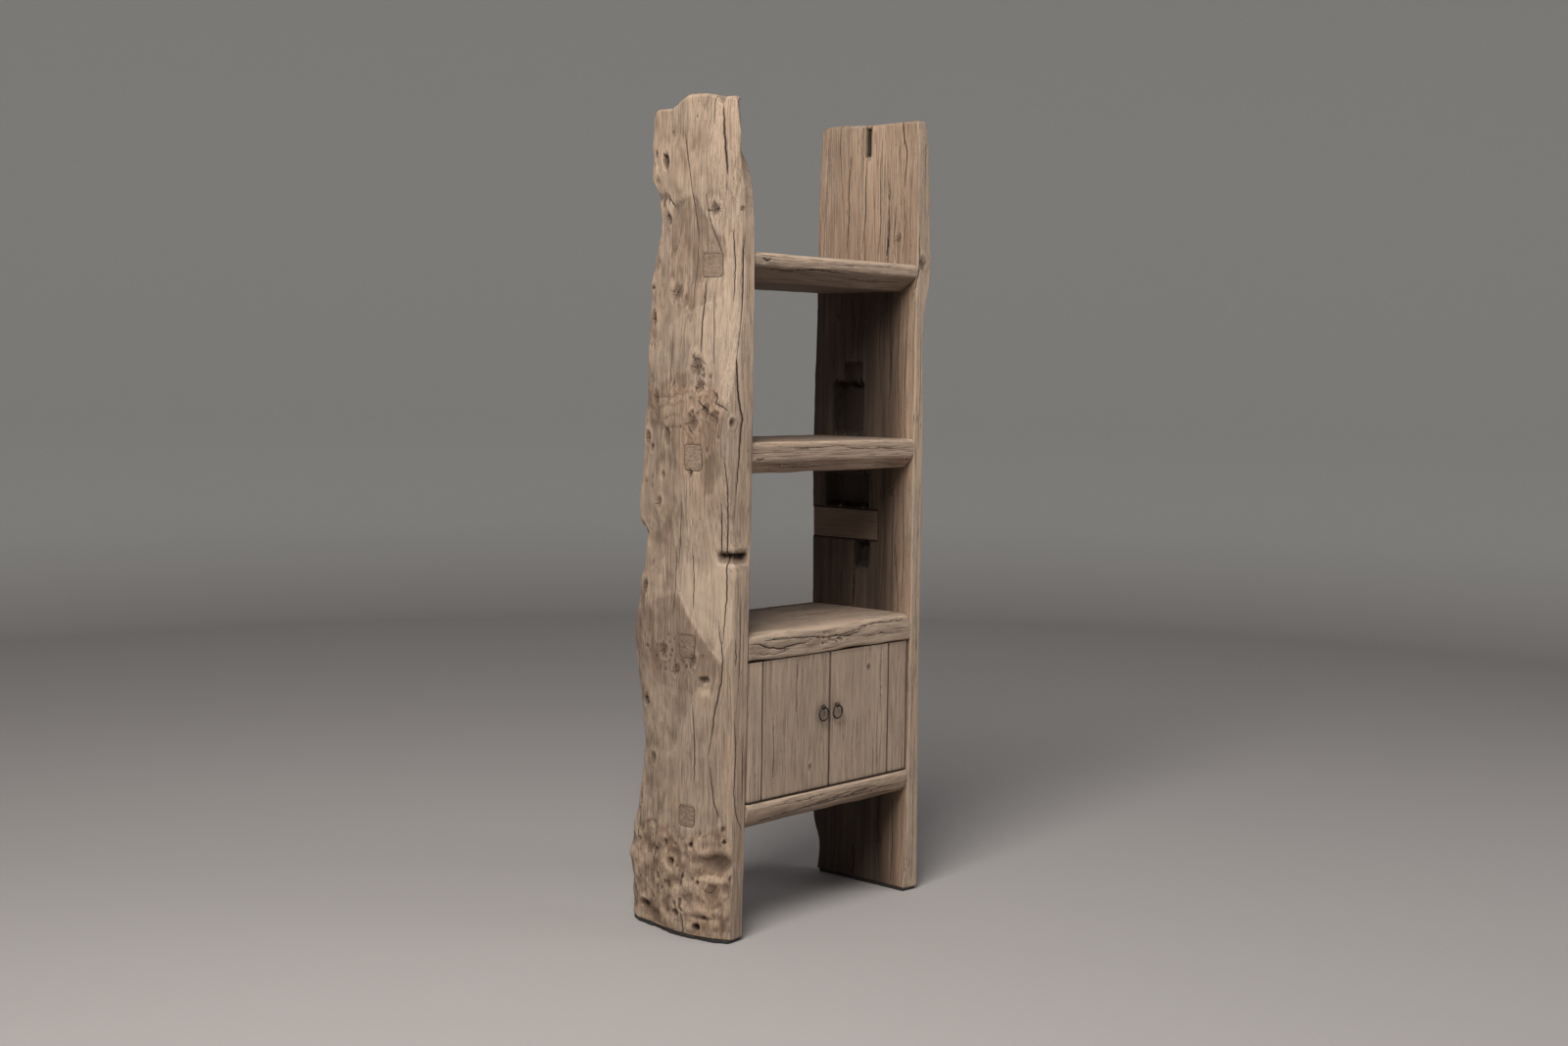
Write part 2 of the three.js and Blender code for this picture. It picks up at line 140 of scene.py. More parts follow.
def hashed(cell, seed):
    """A 31-bit number for every lattice cell, mixed from its whole-number coordinates."""
    c = cell.astype(np.int64)
    n = c[..., 0] * 374761393 + c[..., 1] * 668265263 + c[..., 2] * 1274126177 + seed * 974634777
    n = (n ^ (n >> 13)) & 0x7FFFFFFF
    n = (n * 1103515245 + 12345) & 0x7FFFFFFF
    n = ((n ^ (n >> 15)) * 668265263) & 0x7FFFFFFF
    return n ^ (n >> 12)


def noise(p, seed=0):
    """Noise in about -1..1: at each lattice corner a slope drawn by the hash, times the way
    from that corner, all blended by a quintic of the place inside the cell."""
    cell = np.floor(p)
    f = p - cell
    u = f * f * f * (f * (f * 6 - 15) + 10)
    total = 0.0
    for corner in range(8):
        step = np.array([corner & 1, corner >> 1 & 1, corner >> 2 & 1])
        drawn = hashed(cell + step, seed)
        way = f - step
        slope = sum(((drawn >> (10 * k) & 1023) / 511.5 - 1) * way[..., k] for k in range(3))
        total = total + np.prod(np.where(step, u, 1 - u), axis=-1) * slope
    return 1.7 * total


def rough(p, size, octaves=3, seed=0, gain=0.5):
    """Octaves of noise added up, each half the size and gain times the height of the last."""
    p = np.asarray(p) / np.asarray(size, float)
    total, height, reach = 0.0, 1.0, 0.0
    for k in range(octaves):
        total = total + height * noise(p * 2**k, seed + 31 * k)
        reach += height
        height *= gain
    return total / reach


def curve(points, key):
    """Cubic pieces through [key, value] points, each slope taken from the two neighbours and
    held under three times the gentler one, so that no piece swings past its ends."""
    k, v = np.array(points, float).T
    slope = np.gradient(v, k)
    secant = np.abs(np.diff(v) / np.diff(k))
    gentle = 3 * np.minimum(np.append(secant, secant[-1]), np.append(secant[0], secant))
    slope = np.clip(slope, -gentle, gentle)
    i = np.clip(np.searchsorted(k, key, side="right") - 1, 0, len(k) - 2)
    h = k[i + 1] - k[i]
    t = np.clip((key - k[i]) / h, 0, 1)
    a, b = 2 * t**3 - 3 * t**2 + 1, t**3 - 2 * t**2 + t
    c, d = 3 * t**2 - 2 * t**3, t**3 - t**2
    return a * v[i] + b * h * slope[i] + c * v[i + 1] + d * h * slope[i + 1]


def ease(x, lo, hi):
    """0 below lo, 1 above hi, and a smooth step between; lo may be the larger."""
    t = np.clip((x - lo) / (hi - lo), 0, 1)
    return t * t * (3 - 2 * t)


def blur(field, rows, columns):
    """Box averages along the rows and, wrapping round, the columns, done twice."""
    out = field
    for _ in range(2):
        if rows:
            padded = np.pad(out, ((rows, rows), (0, 0)), mode="edge")
            total = np.cumsum(np.vstack([np.zeros((1, out.shape[1])), padded]), axis=0)
            out = (total[2 * rows + 1:] - total[: -2 * rows - 1]) / (2 * rows + 1)
        if columns:
            padded = np.pad(out, ((0, 0), (columns, columns)), mode="wrap")
            total = np.cumsum(np.hstack([np.zeros((out.shape[0], 1)), padded]), axis=1)
            out = (total[:, 2 * columns + 1:] - total[:, : -2 * columns - 1]) / (2 * columns + 1)
    return out


# ---- meshes --------------------------------------------------------------------------------


def make_mesh(name, vertices, quads, polygons=(), attributes=None):
    """A smooth-shaded mesh object from millimetre points, quads and a few other faces."""
    mesh = bpy.data.meshes.new(name)
    quads = np.asarray(quads, np.int32)
    counts = [4] * len(quads) + [len(f) for f in polygons]
    corners = np.concatenate([quads.ravel()] + [np.asarray(f, np.int32).ravel() for f in polygons])
    starts = np.concatenate([[0], np.cumsum(counts)[:-1]]).astype(np.int32)
    mesh.vertices.add(len(vertices))
    mesh.vertices.foreach_set("co", (np.asarray(vertices) * MM).astype(np.float32).ravel())
    mesh.loops.add(len(corners))
    mesh.loops.foreach_set("vertex_index", corners.astype(np.int32))
    mesh.polygons.add(len(counts))
    mesh.polygons.foreach_set("loop_start", starts)
    mesh.polygons.foreach_set("use_smooth", np.ones(len(counts), bool))
    mesh.update(calc_edges=True)
    mesh.validate()
    for key, values in (attributes or {}).items():
        layer = mesh.attributes.new(key, "FLOAT_VECTOR", "POINT")
        layer.data.foreach_set("vector", np.asarray(values, np.float32).ravel())
    made = bpy.data.objects.new(name, mesh)
    bpy.context.scene.collection.objects.link(made)
    return made


def grid_quads(rows, columns, flip=False):
    """Quads of a grid that wraps round its columns."""
    r, c = np.meshgrid(np.arange(rows - 1), np.arange(columns), indexing="ij")
    n = (c + 1) % columns
    q = np.stack([r * columns + c, r * columns + n, (r + 1) * columns + n, (r + 1) * columns + c], -1)
    return q.reshape(-1, 4)[:, :: -1 if flip else 1]


def end_faces(rows, columns, flip=False):
    """The first and last loops of a grid as two faces that look outwards."""
    loop = np.arange(columns)
    faces = [loop[::-1], loop + (rows - 1) * columns]
    return [f[::-1] for f in faces] if flip else faces


class Skin:
    """The outside of one piece of timber: a grid of points, rows along the grain and columns
    round the section, with a height to push each point out and marks for its finish."""

    def __init__(self, points, across, along, out=1, order=(0, 1, 2), sideways=1):
        self.p = points
        self.a, self.b = across, along
        self.out = out
        self.order, self.sideways = list(order), sideways
        shape = points.shape[:2]
        self.push = np.zeros(shape)
        self.split = np.full(shape, 9.0)
        self.gape = np.zeros(shape)
        self.knots = np.zeros(shape)
        self.tone = np.zeros(shape)
        self.warmth = np.zeros(shape)
        self.shift = np.zeros(shape)
        self.n = self.normals(points)

    def normals(self, p):
        """Unit cross product of the two grid directions."""
        du = np.roll(p, -1, 1) - np.roll(p, 1, 1)
        dv = np.gradient(p, axis=0)
        n = np.cross(du, dv) * self.out
        return n / np.maximum(np.linalg.norm(n, axis=-1, keepdims=True), 1e-9)

    def near(self, centre, reach_a, reach_b, where=None):
        """Rows and columns of the points inside where and within reach of a centre in the
        across, along plane."""
        close = (np.abs(self.a - centre[0]) < reach_a) & (np.abs(self.b - centre[1]) < reach_b)
        return np.nonzero(close if where is None else close & where)

    def crack(self, path, width, depth, where=None, wander=1.3, flare=0.0):
        """An open split along a path of [across, along] points: signed distance to the line,
        a half width that tapers to both ends, and a groove as deep as the bell of distance."""
        path = np.array(path, float)
        low, high = path.min(0) - 14, path.max(0) + 14
        inside = (self.a > low[0]) & (self.a < high[0]) & (self.b > low[1]) & (self.b < high[1])
        if where is not None:
            inside &= where
        i = np.nonzero(inside)
        if not len(i[0]):
            return
        a, b = self.a[i], self.b[i]
        seed = int(abs(path[0]).sum()) % 97
        line = np.stack([b / 17, b * 0 + seed, b * 0], -1)
        a = a + wander * noise(line, seed) + 0.45 * wander * noise(line * 3.7, seed + 5)
        best, share = np.full(a.shape, 99.0), np.zeros(a.shape)
        count = len(path) - 1
        for k in range(count):
            d = path[k + 1] - path[k]
            t = np.clip(((a - path[k, 0]) * d[0] + (b - path[k, 1]) * d[1]) / (d @ d), 0, 1)
            ea, eb = a - path[k, 0] - t * d[0], b - path[k, 1] - t * d[1]
            sign = np.where(d[0] * eb - d[1] * ea < 0, -1.0, 1.0)
            dist = np.hypot(ea, eb) * sign
            closer = np.abs(dist) < np.abs(best)
            best = np.where(closer, dist, best)
            share = np.where(closer, (k + t) / count, share)
        taper = np.clip(4 * share * (1 - share), 0, 1) ** 0.4 + flare * (1 - share) ** 2
        half = 0.62 * width * taper
        closer = np.abs(best) < np.abs(self.split[i])
        self.split[i] = np.where(closer, best, self.split[i])
        gate = np.clip((6.5 - np.abs(best)) / 3, 0, 1)
        self.gape[i] = np.where(closer, half * gate, self.gape[i])
        self.push[i] -= 0.5 * depth * np.clip(taper, 0, 1.4) * np.exp(-((best / (half + 0.9)) ** 2))

    def knot(self, at, radius, stretch=1.3, rim=1.6, core=-2.5, rays=4, seed=0, where=None):
        """A knot: a raised rim one radius out, a sunk core, splits from its middle, and the
        grain pushed aside round it."""
        i = self.near(at, radius * 6, radius * stretch * 6, where)
        if not len(i[0]):
            return
        da, db = (self.a[i] - at[0]) / radius, (self.b[i] - at[1]) / (radius * stretch)
        wobble = noise(np.stack([da, db, da * 0 + seed], -1) * 1.3, seed + 3)
        r = np.hypot(da, db) * (1 + 0.25 * wobble)
        self.push[i] += rim * np.exp(-(((r - 1.15) / 0.4) ** 2)) + core * np.exp(-((r / 0.75) ** 4))
        self.knots[i] = np.maximum(self.knots[i], np.clip(1.25 - r, 0, 1))
        self.shift[i] -= da * radius * np.exp(-((r / 3.2) ** 2)) / (r * r + 0.45)
        random = np.random.default_rng(seed)
        for k in range(rays):
            turn = 2 * math.pi * (k + random.uniform(-0.3, 0.3)) / rays
            reach = radius * random.uniform(0.8, 1.5)
            bend = turn + random.uniform(-0.5, 0.5)
            middle = [at[0] + 0.5 * reach * math.cos(bend), at[1] + 0.5 * reach * math.sin(bend)]
            end = [at[0] + reach * math.cos(turn), at[1] + reach * stretch * math.sin(turn)]
            self.crack([at, middle, end], 0.9, 1.6, where, wander=0.6)

    def pit(self, at, radius, depth, stretch=1.0, dark=1.0, rim=0.0, where=None):
        """A hole: a flat-floored bell of depth, painted dark inside as shade, and a low rim round it."""
        i = self.near(at, radius * 3, radius * stretch * 3, where)
        if not len(i[0]):
            return
        da, db = (self.a[i] - at[0]) / radius, (self.b[i] - at[1]) / (radius * stretch)
        wobble = noise(np.stack([da, db, da * 0 + at[1]], -1) * 1.7, 11)
        r = np.hypot(da, db) * (1 + 0.3 * wobble)
        self.push[i] += -depth * np.exp(-(r**4)) + rim * np.exp(-(((r - 1.35) / 0.35) ** 2))
        self.tone[i] -= dark * np.exp(-((r / 0.95) ** 4))

    def pits(self, at, spread, count, sizes, depth, seed, dark=0.6, where=None):
        """Scattered holes, thickest at the middle of a patch."""
        random = np.random.default_rng(seed)
        for _ in range(count):
            place = np.array(at) + random.normal(size=2) * spread
            size = random.uniform(*sizes)
            self.pit(place, size, depth * random.uniform(0.5, 1.2), random.uniform(0.7, 1.7),
                     dark * random.uniform(0.4, 1.2), 0.5, where)

    def patch(self, at, radii, tone=0.0, warmth=0.0, push=0.0, power=2):
        """A soft-edged spot that is paler, darker, warmer or higher."""
        da, db = (self.a - at[0]) / radii[0], (self.b - at[1]) / radii[1]
        spot = np.exp(-np.hypot(da, db) ** power)
        self.tone += tone * spot
        self.warmth += warmth * spot
        self.push += push * spot

    def region(self, outline, tone=0.0, warmth=0.0, push=0.0, soft=3.0, wobble=4.0, where=1.0):
        """Shades and lowers the inside of a closed outline of [across, along] points. The edge
        wanders, and a smooth step of the signed distance to it gives the share inside."""
        corners = np.array(outline, float)
        place = np.stack([self.a / 16, self.b / 22, 0 * self.a + corners[0, 0]], -1)
        a = self.a + wobble * noise(place, 5) + 0.4 * wobble * noise(place * 3.1, 6)
        b = self.b + wobble * noise(place, 7)
        distance, inside = np.full(a.shape, 1e9), np.zeros(a.shape, bool)
        for (a0, b0), (a1, b1) in zip(corners, np.roll(corners, -1, 0)):
            da, db = a1 - a0, b1 - b0
            t = np.clip(((a - a0) * da + (b - b0) * db) / (da * da + db * db + 1e-9), 0, 1)
            distance = np.minimum(distance, np.hypot(a - a0 - t * da, b - b0 - t * db))
            crosses = ((b0 > b) != (b1 > b)) & (a < a0 + (b - b0) * da / (db if db else 1e-9))
            inside ^= crosses
        share = ease(np.where(inside, distance, -distance), -soft, soft) * where
        self.tone += tone * share
        self.warmth += warmth * share
        self.push += push * share
        return share

    def ordered(self):
        """The points with the grain's axis last."""
        return self.p[..., self.order]

    def aim(self, across, along):
        """Chooses the plane that the next splits and knots are drawn in."""
        self.a, self.b = across, along
        return self

    def surface(self):
        """The points after every push."""
        return self.p + self.n * self.push[..., None]

    def attributes(self, pith):
        """Grain coordinates about the pith, splits and knots, and hollows, tone and warmth.
        Hollows are the push less its own average."""
        flat = blur(self.push, 3, 4)
        hollow = np.clip((self.push - flat) / 1.6, -1, 1)
        wide = np.clip((flat - blur(self.push, 9, 12)) / 3.0, -1, 1)
        waves = self.n * blur(self.push, 2, 2)[..., None]
        grain = (self.p + waves)[..., self.order] - np.array(pith, float)
        grain[..., self.sideways] += self.shift
        marks = np.stack([self.split / 10, self.gape / 10, self.knots], -1)
        # The tone carries the wood's own tone and also the painted light and shade.
        wear = np.stack([0.6 * hollow + 0.5 * wide, self.tone, self.warmth], -1)
        return {"grain": grain * MM, "marks": marks, "wear": wear}


# ---- slab sides ----------------------------------------------------------------------------
# Heights and distances behind the front plane, read by height.
LEFT = {
    "inner": LEFT_X,
    "out": -1,
    "front_inner": [[0, 9], [250, 6], [700, -1], [1500, -5], [1660, 0], [1770, 24], [1800, 44],
                    [1860, 50], [1925, 50]],
    "front_outer": [[0, 5], [1700, 4], [1800, 2], [1870, -3], [1925, 8]],
    "back": [
        [0, 327], [140, 332], [260, 322], [340, 306], [460, 295], [520, 306], [610, 325],
        [666, 334], [750, 324], [820, 311], [900, 293], [970, 313], [1090, 303], [1220, 302],
        [1310, 295], [1470, 287], [1560, 275], [1620, 254], [1700, 261], [1745, 281], [1925, 289],
    ],
    "front_thick": [
        [0, 46], [450, 42], [700, 50], [900, 48], [1050, 68], [1200, 76], [1350, 45], [1500, 26],
        [1650, 26], [1800, 45], [1925, 50],
    ],
    "back_thick": 44,
    "bulge": [[0, 84], [300, 82], [600, 80], [900, 76], [1200, 84], [1500, 76], [1800, 72], [1925, 66]],
    "top": [[-8, 1862], [0, 1875], [15, 1912], [35, 1912], [44, 1894], [60, 1912], [110, 1923], [170, 1915],
            [205, 1900], [265, 1903], [300, 1875]],
}
RIGHT = {
    "inner": RIGHT_X,
    "out": 1,
    "front_inner": [[0, 12], [60, 4], [120, 0], [1860, 0], [1925, 6]],
    "front_outer": [[0, 4], [1860, 2], [1925, 8]],
    "back": [
        [0, 300], [80, 294], [150, 315], [640, 327], [850, 331], [1150, 334], [1500, 327],
        [1760, 326], [1925, 318],
    ],
    "front_thick": [
        [0, 52], [320, 46], [670, 41], [1140, 40], [1450, 34], [1530, 54], [1575, 58], [1650, 53],
        [1745, 50], [1925, 38],
    ],
    "back_thick": 36,
    "bulge": [[0, 56], [600, 52], [1200, 54], [1925, 50]],
    "top": [[-5, 1918], [0, 1920], [12, 1924], [160, 1925], [300, 1929], [314, 1924], [325, 1912]],
}


def slab_skin(shape, rows, counts):
    """The skin of a slab: at each height a loop of front, outer, back and inner faces, its
    depth inward an edge thickness plus a sine swell of the share s of its width, blurred to
    round the corners; then caps that close in towards the middle line."""
    def loops(level):
        """The loop at each level in rows, as x, y, its depth share and its across coordinate."""
        z = level[:, None]
        fi, fo = curve(shape["front_inner"], z), curve(shape["front_outer"], z)
        back, edge = curve(shape["back"], z), curve(shape["front_thick"], z)
        rear = shape["back_thick"]
        w = [np.arange(n)[None, :] / n for n in counts]
        base = edge + (rear - edge) * w[1]
        swell = (curve(shape["bulge"], z) - base) * np.sin(np.pi * w[1] ** 0.8)
        depth = [edge * w[0], base + swell, rear * (1 - w[2]) + 0 * z, 0 * z * w[3]]
        y = [fi + (fo - fi) * w[0], fo + (back - fo) * w[1], back + 0 * w[2], back + (fi - back) * w[3]]
        across = [-edge * (1 - w[0]), y[1], back + rear * w[2], y[3] + 0 * z]
        if shape is RIGHT:
            across[0] = -edge * w[0]
        return np.hstack(depth), np.hstack(y), np.hstack(across)

    depth, y, across = loops(rows)
    for _ in range(3):
        depth = (np.roll(depth, 1, 1) + 2 * depth + np.roll(depth, -1, 1)) / 4
        y = (np.roll(y, 1, 1) + 2 * y + np.roll(y, -1, 1)) / 4
    top = curve(shape["top"], y) - CAP_RADIUS
    height = rows[:, None]
    rise = np.clip((height - CROWN_START) / (rows[-1] - CROWN_START), 0, 1)
    z = np.where(height > CROWN_START, CROWN_START + (top - CROWN_START) * rise, height)

    def cap(row, level, shrinks, lifts):
        """Rows that close in on the loop's middle line."""
        d, yy, zz = depth[row], y[row], level
        middle = np.interp(yy, *loop_middle(d, yy))
        centre = (yy.max() + yy.min()) / 2
        made = []
        for s, lift in zip(shrinks, lifts):
            narrow = 1 - (1 - s) * 18 / (yy.max() - yy.min())
            made.append((middle + (d - middle) * s, centre + (yy - centre) * narrow, zz + lift))
        return [np.stack(m) for m in zip(*made)]

    def loop_middle(d, yy):
        """The mean of the outer and inner depth at a few places along the loop."""
        at = np.linspace(yy.min() + 6, yy.max() - 6, 40)
        outer = slice(counts[0], counts[0] + counts[1])
        inner = slice(counts[0] + counts[1] + counts[2], None)
        far = np.interp(at, yy[outer], d[outer])
        near = np.interp(at, yy[inner][::-1], d[inner][::-1])
        return at, (far + near) / 2

    angle = np.linspace(0, np.pi / 2, 6)[1:]
    shrink = 1 - CAP_RADIUS * (1 - np.cos(angle)) / CAP_REACH
    shrink = np.concatenate([shrink, [0.55, 0.42, 0.28, 0.14, 0.03]])
    lift = np.concatenate([CAP_RADIUS * np.sin(angle), np.full(5, CAP_RADIUS)])
    td, ty, tz = cap(-1, z[-1], shrink, lift)
    low_shrink = np.array([0.03, 0.3, 0.6, 0.85, 0.95])
    low_lift = np.array([0.0, 0.0, 0.0, 0.0, 1.2])
    bd, by, bz = cap(0, np.full_like(z[0], rows[0]), low_shrink, low_lift)
    z[0] = rows[0] + 3.5
    depth, y, z = np.vstack([bd, depth, td]), np.vstack([by, y, ty]), np.vstack([bz, z, tz])
    across = np.vstack([across[:1]] * len(bd) + [across] + [across[-1:]] * len(td))
    along = z.copy()
    x = shape["inner"] + shape["out"] * depth
    skin = Skin(np.stack([x, FRONT + y, z], -1), across, along, shape["out"])
    skin.body_rows = slice(len(bd), len(bd) + len(rows))
    column = np.arange(sum(counts))
    ends = np.cumsum(counts)
    skin.zones = [(column >= a) & (column < b) for a, b in zip([0, *ends[:-1]], ends)]
    return skin


def zone(skin, *numbers):
    """True on the columns of the numbered faces: 0 front, 1 outer, 2 back, 3 inner."""
    chosen = np.any([skin.zones[n] for n in numbers], axis=0)
    return np.broadcast_to(chosen, skin.push.shape)


def join_skins(name, skins, pith):
    """Closed skins as one mesh: each one's grid, and one face over each of its end loops."""
    points, quads, ends, parts = [], [], [], []
    first = 0
    for skin in skins:
        rows, columns = skin.push.shape
        flip = skin.out < 0
        quads.append(grid_quads(rows, columns, flip) + first)
        ends += [face + first for face in end_faces(rows, columns, flip)]
        points.append(skin.surface().reshape(-1, 3))
        parts.append({k: v.reshape(-1, 3) for k, v in skin.attributes(pith).items()})
        first += rows * columns
    merged = {k: np.vstack([part[k] for part in parts]) for k in parts[0]}
    return make_mesh(name, np.vstack(points), np.vstack(quads), ends, merged)


def stretched_rows(low, high, step, busy):
    """Heights from low to high, step apart, and closer together by each [centre, half height,
    factor] in busy."""
    fine = np.linspace(low, high, 4000)
    density = np.ones_like(fine)
    for centre, half, factor in busy:
        density += (factor - 1) * np.exp(-(((fine - centre) / half) ** 4))
    total = np.concatenate([[0], np.cumsum((density[1:] + density[:-1]) / 2)])
    count = int((high - low) / step)
    return np.interp(np.linspace(0, total[-1], count), total, fine)


def weather(skin, lumps, flutes, grit, seed):
    """Waves, upright flutes and fine grit pushed in along the normals, by three noises of
    place whose cells are blocks, long strips and grains."""
    p = skin.ordered()
    skin.push += lumps * rough(p, (75, 75, 190), 3, seed)
    skin.push += flutes * rough(p, (9, 9, 170), 3, seed + 1, 0.6)
    skin.push += grit * rough(p, (5, 5, 9), 2, seed + 2)
    skin.tone += 0.22 * rough(p, (90, 90, 260), 3, seed + 3)
    skin.warmth += 0.35 * rough(p, (60, 60, 330), 3, seed + 4)


LEFT_COUNTS = (24, 150, 22, 46)
RIGHT_COUNTS = (24, 70, 20, 128)
# Rectangles where the through tenons come out: across from, to, height from, to.
PLUGS = {
    "top_shelf": (43, 93, 1514, 1567),
    "middle_shelf": (80, 130, 1079, 1139),
    "cupboard_top": (97, 147, 650, 703),
    "bottom_board": (92, 142, 261, 308),
}


def recess(skin, box, depth, where, soft=1.6, corner=2.0, shade=0.7):
    """A rectangle with rounded corners let in by a depth, with an edge as wide as soft, and painted shade
    along its edge."""
    a0, a1, b0, b1 = box
    da, db = np.minimum(skin.a - a0, a1 - skin.a), np.minimum(skin.b - b0, b1 - skin.b)
    rounded = corner - np.hypot(np.maximum(corner - da, 0), np.maximum(corner - db, 0))
    inside = np.where(np.minimum(da, db) > corner, np.minimum(da, db), rounded)
    inside = np.where(where, inside, -99)
    skin.push -= depth * ease(inside, -soft, soft) * np.abs(skin.n[..., 0]) ** 2
    skin.tone -= shade * np.exp(-((inside / 3.0) ** 2))


def carve_left(skin, lump_height):
    """The natural waney face of the left slab and its planed front edge."""
    s, b, outer = skin.a, skin.b, zone(skin, 1)
    face = zone(skin, 1, 2)
    natural = ease(s, 4, 60) * outer + zone(skin, 2)
    rear = ease(s, 130, 290) * face
    p = skin.p
    weather(skin, 1.0, 0.5, 0.14, 5)
    skin.push += lump_height * natural * 6.5 * rough(p, (90, 90, 210), 2, 71)
    skin.push += lump_height * natural * (2.4 + 1.8 * rear) * rough(p, (44, 38, 56), 2, 23)
    skin.push += lump_height * 3.2 * rear * (0.25 - np.abs(noise(p / (62, 56, 80), 8)))
    # The foot was the root: lobed, creased wood under a crooked line.
    bound = np.interp(s, [0, 30, 70, 130, 190, 260, 340], [225, 270, 245, 232, 262, 252, 200])
    bound = bound + 5 * noise(np.stack([s / 14, b * 0, b * 0], -1), 12)
    root = ease(bound - b, -4, 4) * face * ease(s, -6, 18)
    lobes = rough(p, (58, 52, 46), 2, 41) + 0.35 * rough(p, (24, 22, 20), 2, 44)
    skin.push += lump_height * root * (8.0 * lobes + 2.0)
    skin.tone += root * (0.9 * np.clip(lobes, -0.6, 0.35) - 0.2)
    skin.tone -= 0.4 * root * ease(np.abs(noise(p / (26, 24, 11), 49)), 0.09, 0.0)
    # Painted shade: a dark line along the upper edge of the raised root.
    skin.tone -= 0.5 * np.exp(-(((b - bound + 2) / 3.5) ** 2)) * face * ease(s, 2, 14)
    skin.warmth += 0.55 * root
    skin.tone += 0.14 * ease(b, 1690, 1740) * outer
    skin.warmth += 0.25 * ease(b, 1650, 1800) * outer

    # Old faces, some cleaned and pale and some brown: outline, tone, warmth and push.
    for outline, tone, warmth, push, soft in [
        ([(200, 1680), (120, 1700), (85, 1650), (35, 1590), (40, 1470), (125, 1440), (200, 1520),
          (215, 1625)], -0.38, 0.3, -1.8, 4),
        ([(85, 1490), (80, 1350), (50, 1285), (30, 1250), (5, 1230), (0, 1300), (0, 1560), (40, 1560)],
         0.6, -0.3, -1.5, 4),
        ([(285, 1250), (170, 1295), (115, 1300), (115, 1255), (220, 1250)], -0.28, 0.4, -1.0, 7),
        ([(280, 1255), (50, 1270), (10, 1205), (30, 1140), (80, 1095), (140, 1060), (195, 1180), (285, 1190)],
         -0.3, 0.6, 1.6, 4),
        ([(80, 1100), (35, 1125), (25, 1080), (50, 1030), (75, 1020)], -0.38, 0.2, -1.2, 7),
        ([(10, 1230), (30, 1180), (25, 1115), (5, 1105), (5, 905), (-60, 905), (-60, 1260)],
         -0.4, -0.3, -0.6, 2.5),
        ([(340, 740), (160, 800), (75, 705), (30, 640), (95, 570), (220, 585), (335, 665)],
         -0.6, 0.2, 1.0, 4),
        ([(260, 500), (155, 470), (160, 420), (230, 410)], 0.3, 0.1, -1.0, 5),
        ([(130, 1040), (190, 1010), (240, 900), (200, 850), (120, 900)], -0.25, 0.2, 0.0, 9),
        ([(230, 1430), (290, 1380), (280, 1300), (215, 1320)], 0.25, -0.1, 0.0, 9),
        ([(120, 380), (200, 350), (190, 290), (60, 285), (20, 330)], 0.2, 0.1, 0.0, 9),
        ([(286, 1560), (240, 1500), (250, 1360), (292, 1400)], -0.25, 0.3, 0.0, 8),
    ]:
        skin.region(outline, tone, warmth, push, soft, where=outer * 1.0)
    fade = ease(b, 1020, 800)
    facet = skin.region([(175, 1040), (160, 820), (120, 750), (60, 675), (30, 650), (5, 710), (5, 1040)],
                        0.8, -0.45, -1.8, 2.0, 2.0, outer * fade)
    skin.tone += 0.6 * facet * ease(b, 880, 780)
    skin.patch((70, 1040), (34, 50), -0.3, 0.2)
    skin.patch((20, 860), (24, 26), 0.5, -0.2)
    skin.patch((240, 1700), (30, 9), -0.6, 0.0, -3.0, 3)
    skin.tone -= 0.2 * zone(skin, 0) * ease(b, 1400, 1000)

    # Knots and burrs.
    for at, radius, seed, rays in [
        ((60, 1665), 13, 1, 5), ((5, 1665), 6, 2, 2), ((-15, 1190), 9, 3, 3), ((215, 1650), 12, 4, 3),
        ((170, 1480), 17, 5, 5), ((95, 1315), 19, 6, 6), ((65, 1215), 12, 7, 5), ((105, 1190), 17, 8, 4),
        ((40, 1200), 14, 9, 3), ((110, 1075), 8, 10, 4), ((200, 660), 15, 11, 5), ((155, 620), 12, 12, 4),
        ((105, 645), 13, 13, 4), ((160, 170), 11, 14, 2), ((45, 115), 17, 15, 2), ((265, 1425), 14, 16, 4),
        ((240, 1240), 15, 17, 3), ((85, 1270), 13, 18, 5), ((230, 1000), 12, 19, 2),
        ((290, 800), 14, 20, 3), ((250, 400), 12, 21, 2), ((285, 1150), 13, 22, 3),
    ]:
        skin.knot(at, radius, rays=rays, seed=seed, where=zone(skin, 0, 1), rim=1.9 * lump_height)
    skin.pits((100, 1225), (42, 48), 26, (2.0, 4.6), 3.2, 101, 0.8, outer)
    skin.pits((95, 1305), (14, 16), 12, (2.0, 5.0), 4.0, 102, 0.9, outer)
    skin.pits((160, 650), (58, 30), 34, (1.8, 4.2), 3.0, 103, 0.7, outer)
    skin.pits((150, 110), (95, 62), 34, (2.4, 6.5), 5.0, 104, 1.1, outer)
    skin.pits((170, 1480), (14, 16), 8, (1.8, 4.0), 3.0, 105, 0.8, outer)
    skin.pits((262, 1560), (16, 130), 22, (2.2, 5.0), 3.4, 106, 0.7, outer)
    skin.pits((275, 1080), (18, 210), 16, (3.0, 7.0), 3.0, 107, 0.6, face)
    skin.pits((245, 1770), (12, 22), 8, (2.0, 4.5), 4.0, 108, 0.9, outer)
